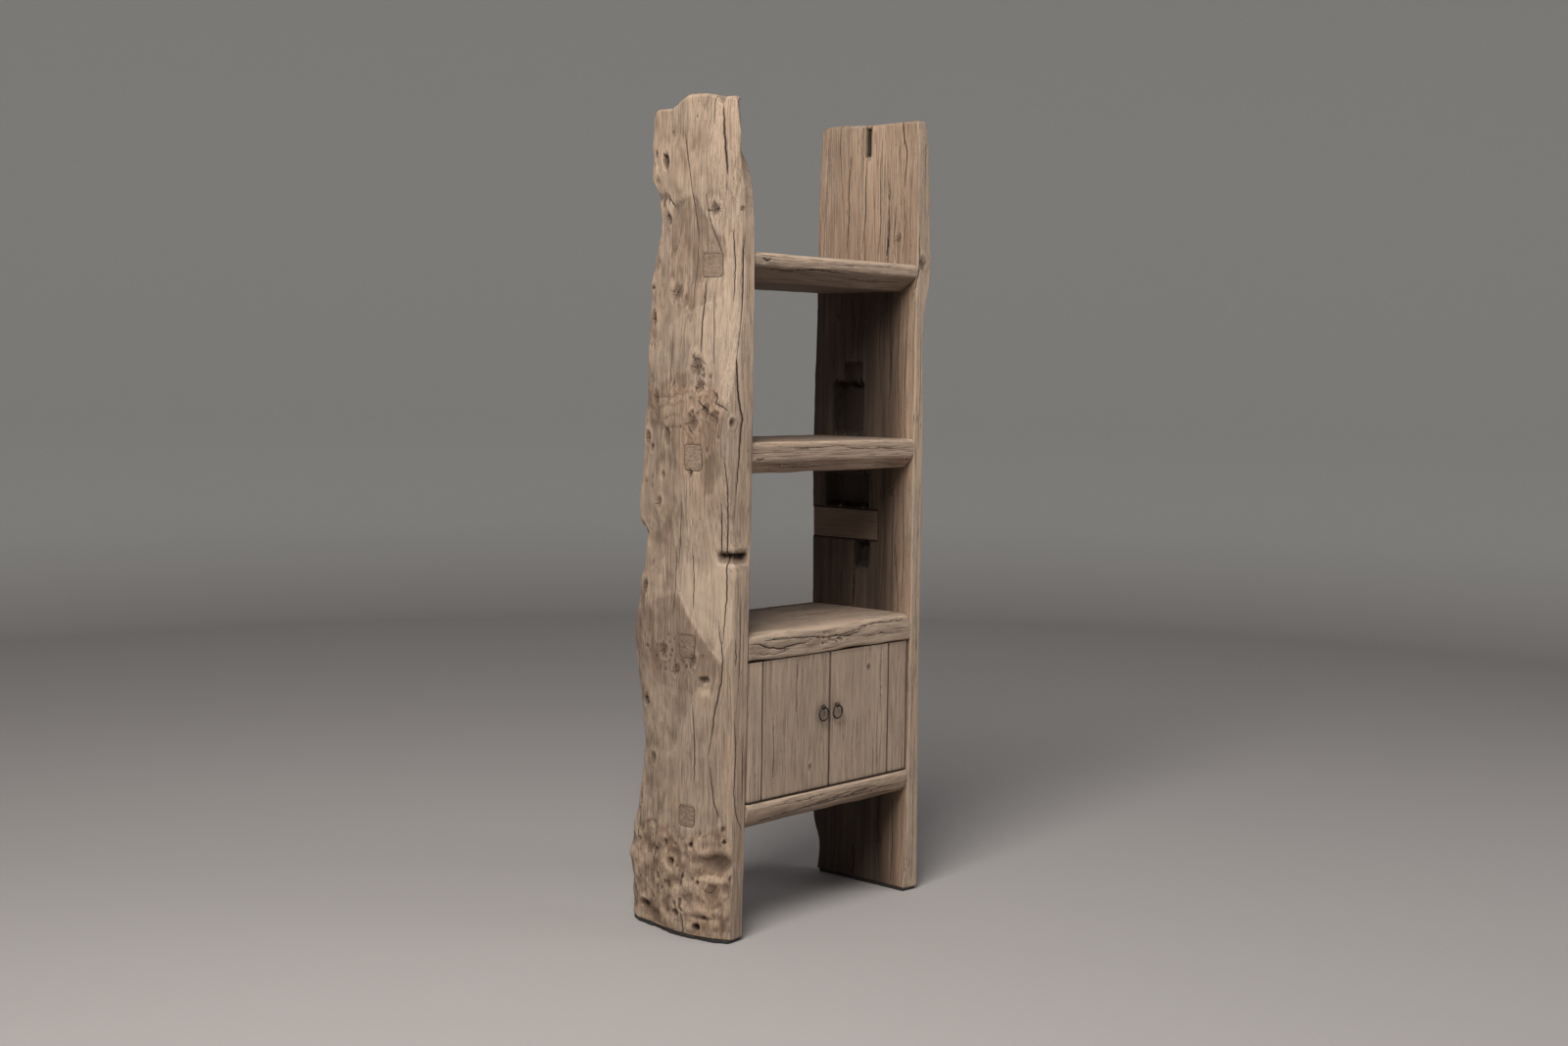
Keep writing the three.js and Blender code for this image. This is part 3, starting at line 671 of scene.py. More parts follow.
    for at, radius, depth, stretch, dark in [
        ((230, 1780), 13, 18, 1.3, 2.0), ((270, 1800), 5, 6, 1.6, 1.3), ((205, 1845), 3.4, 5, 1.0, 1.3),
        ((115, 1875), 2.6, 4, 1.2, 1.2), ((95, 1880), 2.2, 3, 1.0, 1.0), ((280, 530), 11, 13, 1.0, 1.8),
        ((100, 220), 5, 9, 1.3, 1.6), ((20, 235), 4, 7, 1.1, 1.4), ((160, 170), 7, 6, 1.1, 0.8),
        ((85, 30), 9, 12, 0.8, 1.4), ((265, 50), 15, 10, 0.7, 0.8), ((210, 125), 5, 7, 1.0, 1.2),
        ((80, 135), 5, 6, 1.0, 0.9), ((145, 55), 10, 9, 0.9, 0.8), ((300, 920), 12, 10, 2.2, 0.9),
        ((265, 1125), 9, 6, 1.0, 0.5), ((215, 1065), 8, 5, 1.0, 0.4), ((195, 1155), 12, 6, 1.6, 0.4),
        ((70, 605), 13, 6, 0.55, 0.7), ((315, 630), 5, 7, 2.2, 1.0), ((300, 295), 6, 6, 2.0, 0.8),
        ((240, 1685), 6, 8, 1.3, 1.3), ((215, 1690), 5, 5, 2.4, 1.0), ((220, 1650), 5, 5, 1.0, 1.0),
    ]:
        skin.pit(at, radius, depth, stretch, 1.45 * dark, 0.8, face)
    # A hollow painted dark as shade, with a ledge under it painted bright as light, and a scooped knot, near
    # the foot.
    skin.patch((40, 185), (36, 17), -0.7, 0.2, -13, 2.6)
    skin.patch((40, 145), (32, 10), 0.6, -0.1, 5, 3)
    skin.patch((60, 75), (26, 14), -0.1, 0.1, 4, 2.6)
    skin.patch((70, 55), (30, 5), -0.8, 0.1, -5, 2.6)
    skin.patch((300, 780), (14, 60), 0.0, 0.2, -6)
    skin.patch((65, 570), (16, 12), 0.2, 0, 4.5)
    swirl = b + 0.12 * (s - 190) + 7 * noise(np.stack([s / 30, b / 30, b * 0], -1), 31)
    for height, reach in [(1246, 58), (1226, 50), (1200, 30), (1174, 40)]:
        bell = np.exp(-(((s - 180) / reach) ** 2)) * np.exp(-(((swirl - height) / 3.0) ** 2)) * outer
        skin.tone -= 0.5 * bell
        skin.push -= 1.2 * bell
    # The axe cut on the front arris, a sloping cut with a square upper lip.
    arris = ease(s, 46, 34) * outer + zone(skin, 0) * ease(s, -40, -30)
    cut = ease(b, 868, 874) * ease(b, 899, 893) * arris
    skin.push -= cut * np.interp(b, [868, 876, 886, 897], [2, 10, 19, 20])
    # Painted shade: the cut is darkened, most under its upper lip.
    skin.tone -= 0.9 * cut * ease(b, 872, 882) + 1.5 * cut * ease(b, 884, 892)
    # Painted light: a paler, raised spot on the ledge below the cut.
    skin.patch((16, 852), (30, 20), 0.35, 0, 2.0, 3)

    # Splits that follow the grain: path, width, depth.
    for path, width, depth in [
        ([(5, 1600), (5, 1500), (0, 1335), (-25, 1250), (-45, 1200), (-35, 1115), (-20, 1030)], 2.2, 8),
        ([(44, 1900), (36, 1815), (31, 1740)], 2.2, 9),
        ([(158, 1845), (140, 1775), (112, 1640), (104, 1590)], 1.2, 5),
        ([(80, 1515), (86, 1410), (85, 1340)], 1.3, 5), ([(104, 1590), (112, 1520), (118, 1440)], 0.6, 2),
        ([(15, 1115), (8, 1040), (20, 905), (20, 795), (27, 690)], 1.4, 6),
        ([(28, 1005), (31, 940), (34, 880)], 1.4, 5),
        ([(40, 745), (26, 650), (30, 600), (42, 540), (57, 430)], 1.3, 5),
        ([(165, 905), (164, 795), (170, 745)], 0.9, 3), ([(98, 545), (94, 460), (95, 360)], 1.1, 4),
        ([(-3, 515), (-8, 450), (-3, 345), (-12, 295), (-32, 255)], 1.2, 4),
        ([(53, 410), (45, 325), (31, 290)], 1.1, 4),
        ([(112, 905), (104, 830), (106, 760)], 0.8, 3), ([(140, 1010), (150, 930), (158, 860)], 0.7, 2),
        ([(60, 1480), (56, 1400), (54, 1320)], 0.6, 2), ([(22, 1620), (18, 1540), (20, 1460)], 0.7, 2),
        ([(-22, 800), (-24, 700), (-20, 610)], 0.7, 2), ([(-10, 700), (-12, 660), (-9, 640)], 1.3, 4),
        ([(-30, 480), (-28, 400), (-30, 320)], 0.6, 2), ([(110, 1335), (84, 1330), (70, 1318)], 0.9, 3),
        ([(52, 1262), (36, 1246), (40, 1232), (22, 1226), (2, 1216)], 1.3, 4),
        ([(90, 1238), (70, 1222), (60, 1216)], 1.4, 4), ([(118, 1180), (110, 1168), (100, 1160)], 1.2, 3),
        ([(84, 1700), (70, 1640), (52, 1590), (40, 1560)], 0.6, 2), ([(213, 1700), (193, 1676)], 1.5, 5),
        ([(316, 650), (318, 610), (312, 560)], 1.0, 4), ([(298, 330), (302, 270), (300, 200)], 1.0, 4),
        ([(228, 345), (222, 250), (232, 160), (226, 90)], 0.9, 3), ([(128, 60), (120, 20), (122, 6)], 1.4, 5),
        ([(60, 1930), (66, 1890), (62, 1850)], 0.6, 2), ([(180, 1400), (186, 1300), (182, 1230)], 0.7, 2),
    ]:
        skin.crack(path, max(1.35 * width, 1.25), depth, zone(skin, 0, 1))
    # Splits down the plain sawn inner face.
    inner = zone(skin, 3)
    for path, width in [
        ([(80, 1480), (74, 1330), (82, 1180)], 1.0), ([(190, 1000), (196, 860), (188, 730)], 1.1),
        ([(240, 1880), (236, 1760), (242, 1620)], 1.2), ([(120, 230), (126, 120), (120, 10)], 1.4),
    ]:
        skin.crack(path, width, 4, inner)


def carve_right(skin, lump_height):
    """The right slab: a planed inner face with old joint pockets, and a waney outer face."""
    inner, outer, front = zone(skin, 3), zone(skin, 1), zone(skin, 0)
    s, b = skin.a, skin.b
    p = skin.p
    weather(skin, 0.8, 0.5, 0.12, 305)
    skin.push += lump_height * outer * ease(s, 4, 50) * 4.0 * rough(p, (80, 80, 190), 2, 371)
    skin.push += lump_height * outer * 1.6 * rough(p, (32, 30, 44), 3, 323)
    skin.push += lump_height * zone(skin, 2) * 2.5 * rough(p, (30, 30, 60), 3, 331)
    skin.warmth += 0.35 * inner * ease(b, 1500, 1640)
    # Painted light and shade: the front edge is painted lighter, more so below the top shelf; below the top
    # shelf the inner face is painted darker, most away from the front edge, and warmer, as the shade of the
    # shelves and the left slab.
    skin.tone += 0.62 * front - 0.3 * inner * ease(b, 1530, 1560)
    painted_shade = inner * ease(b, 1560, 1530)
    skin.tone -= painted_shade * (0.3 + 1.3 * ease(s, 4, 95) + 0.35 * rough(p, (14, 14, 300), 2, 377))
    skin.tone += 0.5 * front * ease(b, 1560, 1500)
    skin.warmth += 0.5 * painted_shade
    skin.warmth -= 0.3 * front
    recess(skin, (156, 172, 1846, 1990), 21, inner, 2.0)
    ragged = 6 * noise(np.stack([s / 9, b / 30, b * 0], -1), 3)
    for box, depth in [((168, 264, 1150, 1282), 30), ((146, 286, 968, 1052), 27), ((140, 186, 816, 880), 24)]:
        a0, a1, b0, b1 = box
        skin.a, skin.b = s + 0.4 * ragged, b + 1.6 * ragged
        recess(skin, (a0, a1, b0, b1), depth, inner, 2.2)
        skin.a, skin.b = s, b
    skin.a = s + 0.8 * ragged
    recess(skin, (174, 228, 1270, 1330), 12, inner, 5)
    skin.a = s
    recess(skin, (114, 400, 884, 960), 19, inner | zone(skin, 2), 1.6)
    # Painted shade: the floors of the deep pockets are painted dark, as the shade inside them.
    deep = ease(-skin.push, 9, 18) * inner
    skin.tone -= 1.8 * deep
    # A splinter left standing in the narrow mortise.
    splinter = np.exp(-(((s - 170 + 0.1 * (b - 850)) / 4) ** 2))
    skin.push += 12 * splinter * inner * ease(b, 818, 826) * ease(b, 874, 850)
    for at, radius, seed, rays in [((-22, 1576), 15, 31, 4), ((60, 1640), 9, 32, 3), ((250, 1450), 10, 33, 3),
                                   ((280, 620), 9, 34, 2), ((70, 1010), 8, 35, 3), ((90, 120), 12, 36, 3)]:
        skin.knot(at, radius, rays=rays, seed=seed, where=inner | front, rim=1.2, core=-1.2)
    for at, radius, seed in [((90, 1700), 18, 41), ((190, 1380), 22, 42), ((120, 900), 16, 43),
                             ((220, 520), 20, 44), ((100, 180), 24, 45)]:
        skin.knot(at, radius, rays=4, seed=seed, where=outer, rim=2.2, core=-3)
    skin.pits((100, 170), (80, 60), 16, (2.5, 6), 4, 205, 0.6, outer)
    skin.pits((30, 1560), (16, 34), 9, (1.8, 3.4), 2, 206, 0.7, inner | front)
    for path, width, depth in [
        ([(56, 1930), (50, 1885), (40, 1850), (46, 1760)], 1.5, 6),
        ([(220, 1850), (227, 1780), (225, 1700), (232, 1605)], 1.2, 4),
        ([(166, 1850), (172, 1780), (170, 1700), (180, 1605)], 1.2, 4),
        ([(190, 814), (188, 760), (191, 713)], 1.8, 7), ([(177, 92), (175, 50), (178, 4)], 2.2, 8),
        ([(-8, 1650), (-11, 1592), (-7, 1550), (2, 1527), (8, 1512)], 1.8, 6),
        ([(118, 1890), (124, 1800), (119, 1680), (126, 1600)], 0.8, 3),
        ([(96, 1760), (92, 1660), (98, 1590)], 0.9, 3), ([(72, 1720), (76, 1640), (70, 1585)], 0.8, 3),
        ([(206, 1345), (200, 1420), (208, 1500)], 1.0, 4), ([(112, 1500), (118, 1380), (110, 1240)], 0.8, 3),
        ([(84, 1460), (80, 1330), (86, 1180)], 0.9, 3), ([(52, 1490), (58, 1340), (50, 1160)], 0.8, 3),
        ([(136, 1060), (132, 960), (128, 880)], 0.8, 3), ([(96, 1060), (90, 900), (98, 730)], 0.9, 3),
        ([(60, 1050), (66, 900), (62, 740)], 0.8, 3), ([(28, 1480), (34, 1250), (26, 1080)], 0.7, 2),
        ([(230, 800), (236, 760), (230, 720)], 1.0, 3), ([(34, 1040), (28, 880), (32, 720)], 0.7, 2),
        ([(90, 250), (96, 150), (88, 10)], 1.0, 3), ([(240, 240), (236, 150), (240, 30)], 1.0, 3),
        ([(50, 240), (46, 120), (52, 12)], 0.9, 3), ([(140, 250), (136, 160), (142, 60)], 0.8, 2),
        ([(-20, 1480), (-24, 1300), (-18, 1120)], 0.7, 2), ([(-26, 1000), (-22, 800), (-28, 560)], 0.7, 2),
        ([(-14, 700), (-18, 540), (-12, 400)], 0.6, 2), ([(-30, 420), (-26, 300), (-30, 90)], 0.8, 2),
        ([(-30, 1900), (-26, 1800), (-30, 1680)], 0.7, 2),
    ]:
        skin.crack(path, 1.4 * width, depth, inner | front)
    random = np.random.default_rng(9)
    for _ in range(46):
        start, height = random.uniform(15, 310), random.uniform(150, 1750)
        drift, length = random.normal(0, 5, 2), random.uniform(90, 330)
        path = [(start, height), (start + drift[0], height + length / 2), (start + drift[1], height + length)]
        skin.crack(path, random.uniform(0.6, 1.1), 1.5, inner if random.random() < 0.7 else outer)
    for path, width in [
        ([(60, 1880), (66, 1700), (58, 1500)], 1.3), ([(150, 1500), (158, 1200), (150, 980)], 1.5),
        ([(230, 1000), (224, 760), (232, 560)], 1.3), ([(90, 700), (98, 420), (90, 240)], 1.2),
    ]:
        skin.crack(path, width, 5, outer)


# ---- planks --------------------------------------------------------------------------------
ORDERS = {"x": (1, 2, 0), "y": (2, 0, 1), "z": (0, 1, 2)}


def rounded_outline(outline, step, passes):
    """An outline of corners walked at equal steps, its corners rounded by averaging along it."""
    corners = np.array(outline, float)
    closed = np.vstack([corners, corners[:1]])
    length = np.concatenate([[0], np.cumsum(np.linalg.norm(np.diff(closed, axis=0), axis=1))])
    count = max(24, int(length[-1] / step))
    walk = np.arange(count) / count * length[-1]
    points = np.stack([np.interp(walk, length, closed[:, k]) for k in (0, 1)], -1)
    for _ in range(passes):
        points = (np.roll(points, 1, 0) + 2 * points + np.roll(points, -1, 0)) / 4
    return points


def plank_skin(axis, outline, low, high, steps=(3.0, 5.0), passes=2, end_radius=2.0, sideways=1, bend=None):
    """A plank: its rounded outline carried along the grain, with the ends rounded and closed.
    bend(section, along) may move the section's points as they go."""
    section = rounded_outline(outline, steps[0], passes)
    count = max(4, int((high - low) / steps[1]))
    middle = (section.max(0) + section.min(0)) / 2
    half = (section.max(0) - section.min(0)) / 2
    angle = np.linspace(0, math.pi / 2, 4)
    inset = end_radius * (1 - np.sin(angle))
    place = end_radius * (1 - np.cos(angle))
    body = np.linspace(low + end_radius, high - end_radius, count)
    # The rounding is held in tenths of a metre, which keeps it apart from the larger shares
    # of the least width that close the ends.
    insets = np.concatenate([[0.45, 0.2], inset / 100, np.zeros(count - 2), inset[::-1] / 100, [0.2, 0.45]])
    along = np.concatenate([[low, low], low + place, body[1:-1], high - place[::-1], [high, high]])
    share = insets[:, None]
    shrink = np.where(share < 0.15, 1 - 100 * share / half, 1 - 2 * share * half.min() / half)
    points = middle + (section - middle)[None] * shrink[:, None, :]
    walk = np.broadcast_to(along[:, None], points.shape[:2])
    if bend:
        points = bend(points, walk)
    stacked = np.stack([points[..., 0], points[..., 1], walk], -1)
    place_of = np.argsort(ORDERS[axis])
    skin = Skin(stacked[..., place_of], points[..., 0], walk, 1, ORDERS[axis], sideways)
    skin.u, skin.v, skin.w = points[..., 0], points[..., 1], walk
    return skin


def facing(skin, axis, sign):
    """True where the surface mostly faces one way along an axis."""
    return skin.n[..., axis] * sign > 0.6


def fine_splits(skin, count, across, along, lengths, widths, seed, where):
    """Short hair splits along the grain, scattered over a face."""
    random = np.random.default_rng(seed)
    for _ in range(count):
        a, b = random.uniform(*across), random.uniform(*along)
        length, drift = random.uniform(*lengths), random.normal(0, 1.6, 2)
        path = [(a, b - length / 2), (a + drift[0], b), (a + drift[1], b + length / 2)]
        skin.crack(path, random.uniform(*widths), 1.2, where, wander=0.8)


# Section fronts as [behind the front plane, above the underside], and the boards' own marks; under is the
# painted shade on the faces turned down.
BOARDS = {
    "top_shelf": {
        "depth": 315, "front": [[8, 65], [2, 61], [0, 54], [0, 37], [8, 27], [45, 0]],
        "tone": (0.05, -0.1), "pith": (60, -90), "seed": 11, "under": 1.1,
        "splits": [([(29, -262), (27, -160), (33, -60), (30, 40)], 1.3),
                   ([(34, -90), (37, 20), (33, 120)], 0.9), ([(20, 40), (16, 150), (20, 260)], 1.0),
                   ([(50, -250), (47, -235), (50, -222)], 2.2)],
    },
    "middle_shelf": {
        "depth": 325, "front": [[5, 72], [0, 67], [0, 29], [6, 22], [25, 0]],
        "tone": (-0.1, 0.1), "pith": (90, -70), "seed": 12, "under": 0.5,
        "splits": [([(34, -262), (31, -250), (35, -235)], 1.6), ([(60, -160), (56, -60), (62, 40)], 0.7),
                   ([(54, 40), (50, 150), (55, 250)], 0.7), ([(14, -200), (10, -80), (16, 60)], 0.8)],
    },
    "cupboard_top": {
        "depth": 310, "front": [[25, 65], [11, 61], [3, 52], [0, 40], [0, 3], [3, 0]],
        "tone": (0.05, -0.15), "pith": (120, 30), "seed": 13, "under": 0.4,
        "splits": [([(42, -270), (38, -240), (28, -215), (22, -170), (27, -120), (30, -70)], 2.0),
                   ([(45, -230), (44, -150), (40, -60), (33, 0), (38, 60), (48, 140)], 1.5),
                   ([(36, 10), (32, 60), (37, 110)], 1.6), ([(50, 110), (53, 180), (49, 290)], 1.7),
                   ([(22, 120), (26, 190), (22, 240)], 1.0), ([(16, -260), (12, -190), (18, -140)], 1.0)],
    },
    "bottom_board": {
        "depth": 310, "front": [[4, 59], [0, 55], [0, 36], [8, 16], [20, 4], [34, 0]],
        "tone": (0.12, 0.1), "pith": (80, 110), "seed": 14, "under": 0.9,
        "splits": [([(14, -230), (18, -120), (30, 10), (38, 90)], 1.4),
                   ([(20, -60), (26, 60), (40, 200)], 1.1), ([(46, -200), (42, -100), (48, 0)], 0.8),
                   ([(24, 120), (30, 200), (28, 280)], 0.9)],
    },
}


def tenon_box(name, blind):
    """Across and height limits of a tenon that comes through the slab, or stops inside it."""
    across = BLIND_ACROSS if blind else PLUGS[name][:2]
    return (*across, side(name, 2, 0) + SHOULDER, side(name, 2, 1) - SHOULDER)


def face_reader(skin, zone_number):
    """A function that gives x of the slab's finished outer face at across, along places, by
    bilinear reading of its grid."""
    columns = np.nonzero(skin.zones[zone_number])[0]
    rows = skin.body_rows
    x = skin.surface()[rows, columns, 0]
    level = skin.b[rows, columns[len(columns) // 2]]
    span = skin.a[rows, columns]

    def read(a, b):
        row = np.interp(b, level, np.arange(len(level)))
        r0 = np.clip(row.astype(int), 0, len(level) - 2)
        f = row - r0
        share = (a - span[r0, 0]) / (span[r0, -1] - span[r0, 0]) * (len(columns) - 1)
        c0 = np.clip(share.astype(int), 0, len(columns) - 2)
        g = share - c0
        near = x[r0, c0] * (1 - g) + x[r0, c0 + 1] * g
        far = x[r0 + 1, c0] * (1 - g) + x[r0 + 1, c0 + 1] * g
        return near * (1 - f) + far * f

    return read


def tenon_skin(box, inner_x, way, end):
    """A tenon: a rectangle carried out along x whose end follows the face at a reader, or is
    flat at a number; rows over the end close in on its middle."""
    a0, a1, b0, b1 = box
    section = rounded_outline([(a0, b0), (a1, b0), (a1, b1), (a0, b1)], 2.2, 16)
    middle = np.array([(a0 + a1) / 2, (b0 + b1) / 2])
    shrinks = np.array([1, 1, 1, 0.985, 0.93, 0.85, 0.76, 0.66, 0.56, 0.46, 0.36, 0.26, 0.16, 0.05])
    sections = middle + (section - middle)[None] * shrinks[:, None, None]
    reach = end(sections[..., 0], sections[..., 1]) if callable(end) else np.full(sections.shape[:2], end)
    x = reach - way * 0.4
    x[0] = inner_x - way * 2.0
    x[1] = x[0] * 0.3 + x[2] * 0.7
    x[2] = x[2] - way * 1.0
    stacked = np.stack([x, FRONT + sections[..., 0], sections[..., 1]], -1)
    skin = Skin(stacked, sections[..., 0], sections[..., 1], way, ORDERS["x"], 1)
    over = shrinks < 0.99
    q = stacked[:, :, [1, 2, 0]]
    skin.push += over[:, None] * (0.35 * rough(q, (7, 7, 7), 3, 3) + 0.5 * rough(q, (26, 5, 30), 2, 6))
    skin.tone += over[:, None] * (-0.5 + 0.5 * rough(q, (18, 5, 30), 2, 5))
    skin.tone -= 1.2 * (shrinks[:, None] > 0.95)
    skin.warmth += 0.2
    return skin


def shelf_board(name, readers):
    """One shelf board between the slabs with its four tenons."""
    spec = BOARDS[name]
    low = side(name, 2, 0)
    depth, thick, seed = spec["depth"], side(name, 2, 1) - low, spec["seed"]
    outline = [(y, z) for y, z in spec["front"][::-1]]
    outline.append((spec["front"][0][0] + 30, thick))
    outline += [(depth - 2, thick), (depth, thick - 3), (depth, 3), (depth - 2, 0)]
    outline = [(FRONT + y, low + z) for y, z in outline[::-1]]

    def waney(points, along):
        y, z = points[..., 0], points[..., 1]
        front = ease(y, FRONT + 60, FRONT + 8)
        wave = 3.0 * rough(np.stack([along / 90, z / 60, along * 0 + seed], -1), (1, 1, 1), 3, seed)
        rear = ease(y, FRONT + depth - 50, FRONT + depth - 5)
        back_wave = 3.0 * noise(np.stack([along / 80, z / 70, along * 0 + seed + 9], -1), seed)
        under = ease(z, low + thick * 0.5, low) * front
        lift = 3.0 * noise(np.stack([along / 110, y / 60, along * 0 + seed + 4], -1), seed + 2)
        return np.stack([y + front * np.abs(wave) + rear * (back_wave - 2.2), z + under * lift], -1)

    skin = plank_skin("x", outline, LEFT_X + 0.3, RIGHT_X - 0.3, (2.6, 4.4), 3, 0.8, 1, waney)
    q = skin.ordered()
    weather(skin, 0.9, 0.55, 0.1, 500 + seed)
    front = ease(skin.n[..., 1], -0.25, -0.6)
    top = ease(skin.n[..., 2], 0.4, 0.8)
    skin.push += front * (1.1 * rough(q, (22, 14, 120), 3, seed) + 0.5 * rough(q, (6, 5, 40), 2, seed + 1))
    skin.push += 0.8 * (1 - top) * rough(q, (30, 30, 90), 2, seed + 2)
    skin.tone += spec["tone"][0]
    skin.warmth += spec["tone"][1]
    edge = front * ease(skin.v, low + thick - 16, low + thick - 6)
    skin.tone += 0.7 * edge + 0.25 * front
    skin.tone += 0.45 * top * ease(skin.u, FRONT + 40, FRONT + 10)
    # Painted shade: faces turned down are darkened by the board's under number, and warmed.
    skin.tone -= spec["under"] * ease(skin.n[..., 2], -0.2, -0.7)
    skin.warmth += 0.4 * ease(skin.n[..., 2], -0.2, -0.7)
    skin.aim(skin.v - low, skin.w)
    for path, width in spec["splits"]:
        skin.crack(path, 0.8 * width, 3.0 * width, front > 0.4, wander=1.6)
    fine_splits(skin, 18, (4, thick - 4), (LEFT_X, RIGHT_X), (40, 160), (0.2, 0.4), seed, front > 0.4)
    if name == "cupboard_top":
        skin.pits((26, 5), (9, 26), 16, (2.0, 4.5), 3.5, 61, 0.5, front > 0.4)
        skin.patch((27, 5), (12, 30), 0.25, -0.2, -2.0, 2)
        skin.patch((24, -150), (9, 60), 0.15, 0.1, -2.2, 2)
    skin.aim(skin.u - FRONT, skin.w)
    if name == "cupboard_top":
        for path, width in [
            ([(150, -40), (158, 60), (148, 150)], 1.6), ([(168, 90), (176, 150), (170, 230)], 1.8),
        ]:
            skin.crack(path, width, 4, top > 0.5)
        skin.patch((158, 150), (16, 50), -0.3, 0, -2.0)
    fine_splits(skin, 26, (20, depth - 15), (LEFT_X, RIGHT_X), (60, 260), (0.2, 0.5), seed + 40, top > 0.5)
    skins = [skin]
    for slab_x, way, reader in ((LEFT_X, -1, readers[0]), (RIGHT_X, 1, readers[1])):
        skins.append(tenon_skin(tenon_box(name, False), slab_x, way, reader))
        skins.append(tenon_skin(tenon_box(name, True), slab_x, way, slab_x + way * BLIND_LENGTH))
    return join_skins(name + "_timber", skins, (FRONT + spec["pith"][0], low + spec["pith"][1], 700 * seed))


def small_plank(name, node, axis, pith, seed, marks=None, outline=None, steps=(2.6, 5.0), end_radius=1.2,
                sideways=1, edge=1):
    """A plank that fills a CAD node's box, weathered, with its own marks."""
    low, high = corners_of(node)
    order = ORDERS[axis]
    (u0, v0, w0), (u1, v1, w1) = low[list(order)], high[list(order)]
    corners = outline or [(u0, v0), (u1, v0), (u1, v1), (u0, v1)]
    skin = plank_skin(axis, corners, w0, w1, steps, edge, end_radius, sideways)
    weather(skin, 0.35, 0.3, 0.08, 700 + seed)
    if marks:
        marks(skin)
    return join_skins(name, [skin], ((u0 + u1) / 2 + pith[0], (v0 + v1) / 2 + pith[1], 613 * seed))


# ---- iron ----------------------------------------------------------------------------------


def tube(name, path, radius, closed, sides=20, dents=0.0, seed=0):
    """A round bar along a path of points: circles in the planes square to it, their frames
    turned as little as possible, with rounded ends if it is open."""
    path = np.array(path, float)
    radius = np.broadcast_to(np.asarray(radius, float), (len(path),)).copy()
    if not closed:
        t0, t1 = path[0] - path[1], path[-1] - path[-2]
        t0, t1 = t0 / np.linalg.norm(t0), t1 / np.linalg.norm(t1)
        turn = np.linspace(0.15, math.pi / 2, 5)[:-1]
        head = [path[0] + t0 * radius[0] * math.cos(a) for a in turn]
        tail = [path[-1] + t1 * radius[-1] * math.cos(a) for a in turn[::-1]]
        radii = [radius[0] * math.sin(a) for a in turn]
        path = np.vstack([head, path, tail])
        radius = np.concatenate([radii, radius, radii[::-1]])
    ahead = np.roll(path, -1, 0) - np.roll(path, 1, 0)
    if not closed:
        ahead[0], ahead[-1] = path[1] - path[0], path[-1] - path[-2]
    ahead /= np.linalg.norm(ahead, axis=1, keepdims=True)
    up = np.zeros_like(ahead)
    first = np.cross(ahead[0], (0.31, 0.17, 0.93))
    up[0] = first / np.linalg.norm(first)
    for k in range(1, len(path)):
        v = up[k - 1] - ahead[k] * (up[k - 1] @ ahead[k])
        up[k] = v / np.linalg.norm(v)
    other = np.cross(ahead, up)
    if closed:
        v = up[-1] - ahead[0] * (up[-1] @ ahead[0])
        twist = math.atan2(v @ other[0], v @ up[0])
        angle = -twist * np.arange(len(path)) / len(path)
        c, s = np.cos(angle)[:, None], np.sin(angle)[:, None]
        up, other = up * c + other * s, other * c - up * s
    round_ = 2 * math.pi * np.arange(sides) / sides
    circle = np.cos(round_)[None, :, None] * up[:, None] + np.sin(round_)[None, :, None] * other[:, None]
    points = path[:, None] + circle * radius[:, None, None]
    points = points + circle * (dents * rough(points, (1.6, 1.6, 1.6), 2, seed))[..., None]
    rows = len(path)
    if closed:
        quads = grid_quads(rows + 1, sides) % (rows * sides)
        return make_mesh(name, points.reshape(-1, 3), quads)
    return make_mesh(name, points.reshape(-1, 3), grid_quads(rows, sides), end_faces(rows, sides))


def turned(name, centre, axis, profile, sides=28, dents=0.0, seed=0):
    """A profile of [along, radius] points spun about an axis, closed at both ends."""
    profile = np.array(profile, float)
    fine = np.linspace(0, len(profile) - 1, 4 * len(profile))
    along, radius = (np.interp(fine, np.arange(len(profile)), profile[:, k]) for k in (0, 1))
    round_ = 2 * math.pi * np.arange(sides) / sides
    radius = np.maximum(radius, 0.02)[:, None] * np.ones((1, sides))
    u, v = radius * np.cos(round_), radius * np.sin(round_)
    stacked = np.stack([u, v, along[:, None] * np.ones((1, sides))], -1)
    stacked[..., :2] *= 1 + dents * rough(stacked, (2.2, 2.2, 2.2), 2, seed)[..., None]
    points = stacked[..., np.argsort(ORDERS[axis])] + np.array(centre, float)
    rows, flip = len(fine), along[-1] < along[0]
    return make_mesh(name, points.reshape(-1, 3), grid_quads(rows, sides, flip), end_faces(rows, sides, flip))


# ---- shaders -------------------------------------------------------------------------------


class Field:
    """A socket of a shader tree that works in sums like a number."""

    def __init__(self, shader, socket):
        self.shader, self.socket = shader, socket

    def math(self, operation, *others, clamp=False):
        inputs = dict(enumerate((self,) + others))
        return self.shader.node("ShaderNodeMath", {"operation": operation, "use_clamp": clamp}, inputs)

    def __add__(self, other):
        return self.math("ADD", other)

    def __sub__(self, other):
        return self.math("SUBTRACT", other)

    def __mul__(self, other):
        return self.math("MULTIPLY", other)

    __radd__, __rmul__ = __add__, __mul__

    def __rsub__(self, other):
        return self.shader.node("ShaderNodeMath", {"operation": "SUBTRACT"}, {0: other, 1: self})

    def __neg__(self):
        return self * -1.0

    def __abs__(self):
        return self.math("ABSOLUTE")

    def clamp(self):
        return self.math("ADD", 0.0, clamp=True)

    def step(self, low, high):
        """0 at low and 1 at high with a smooth step between."""
        return self.shader.node(
            "ShaderNodeMapRange", {"interpolation_type": "SMOOTHSTEP"},
            {"Value": self, "From Min": low, "From Max": high},
        )


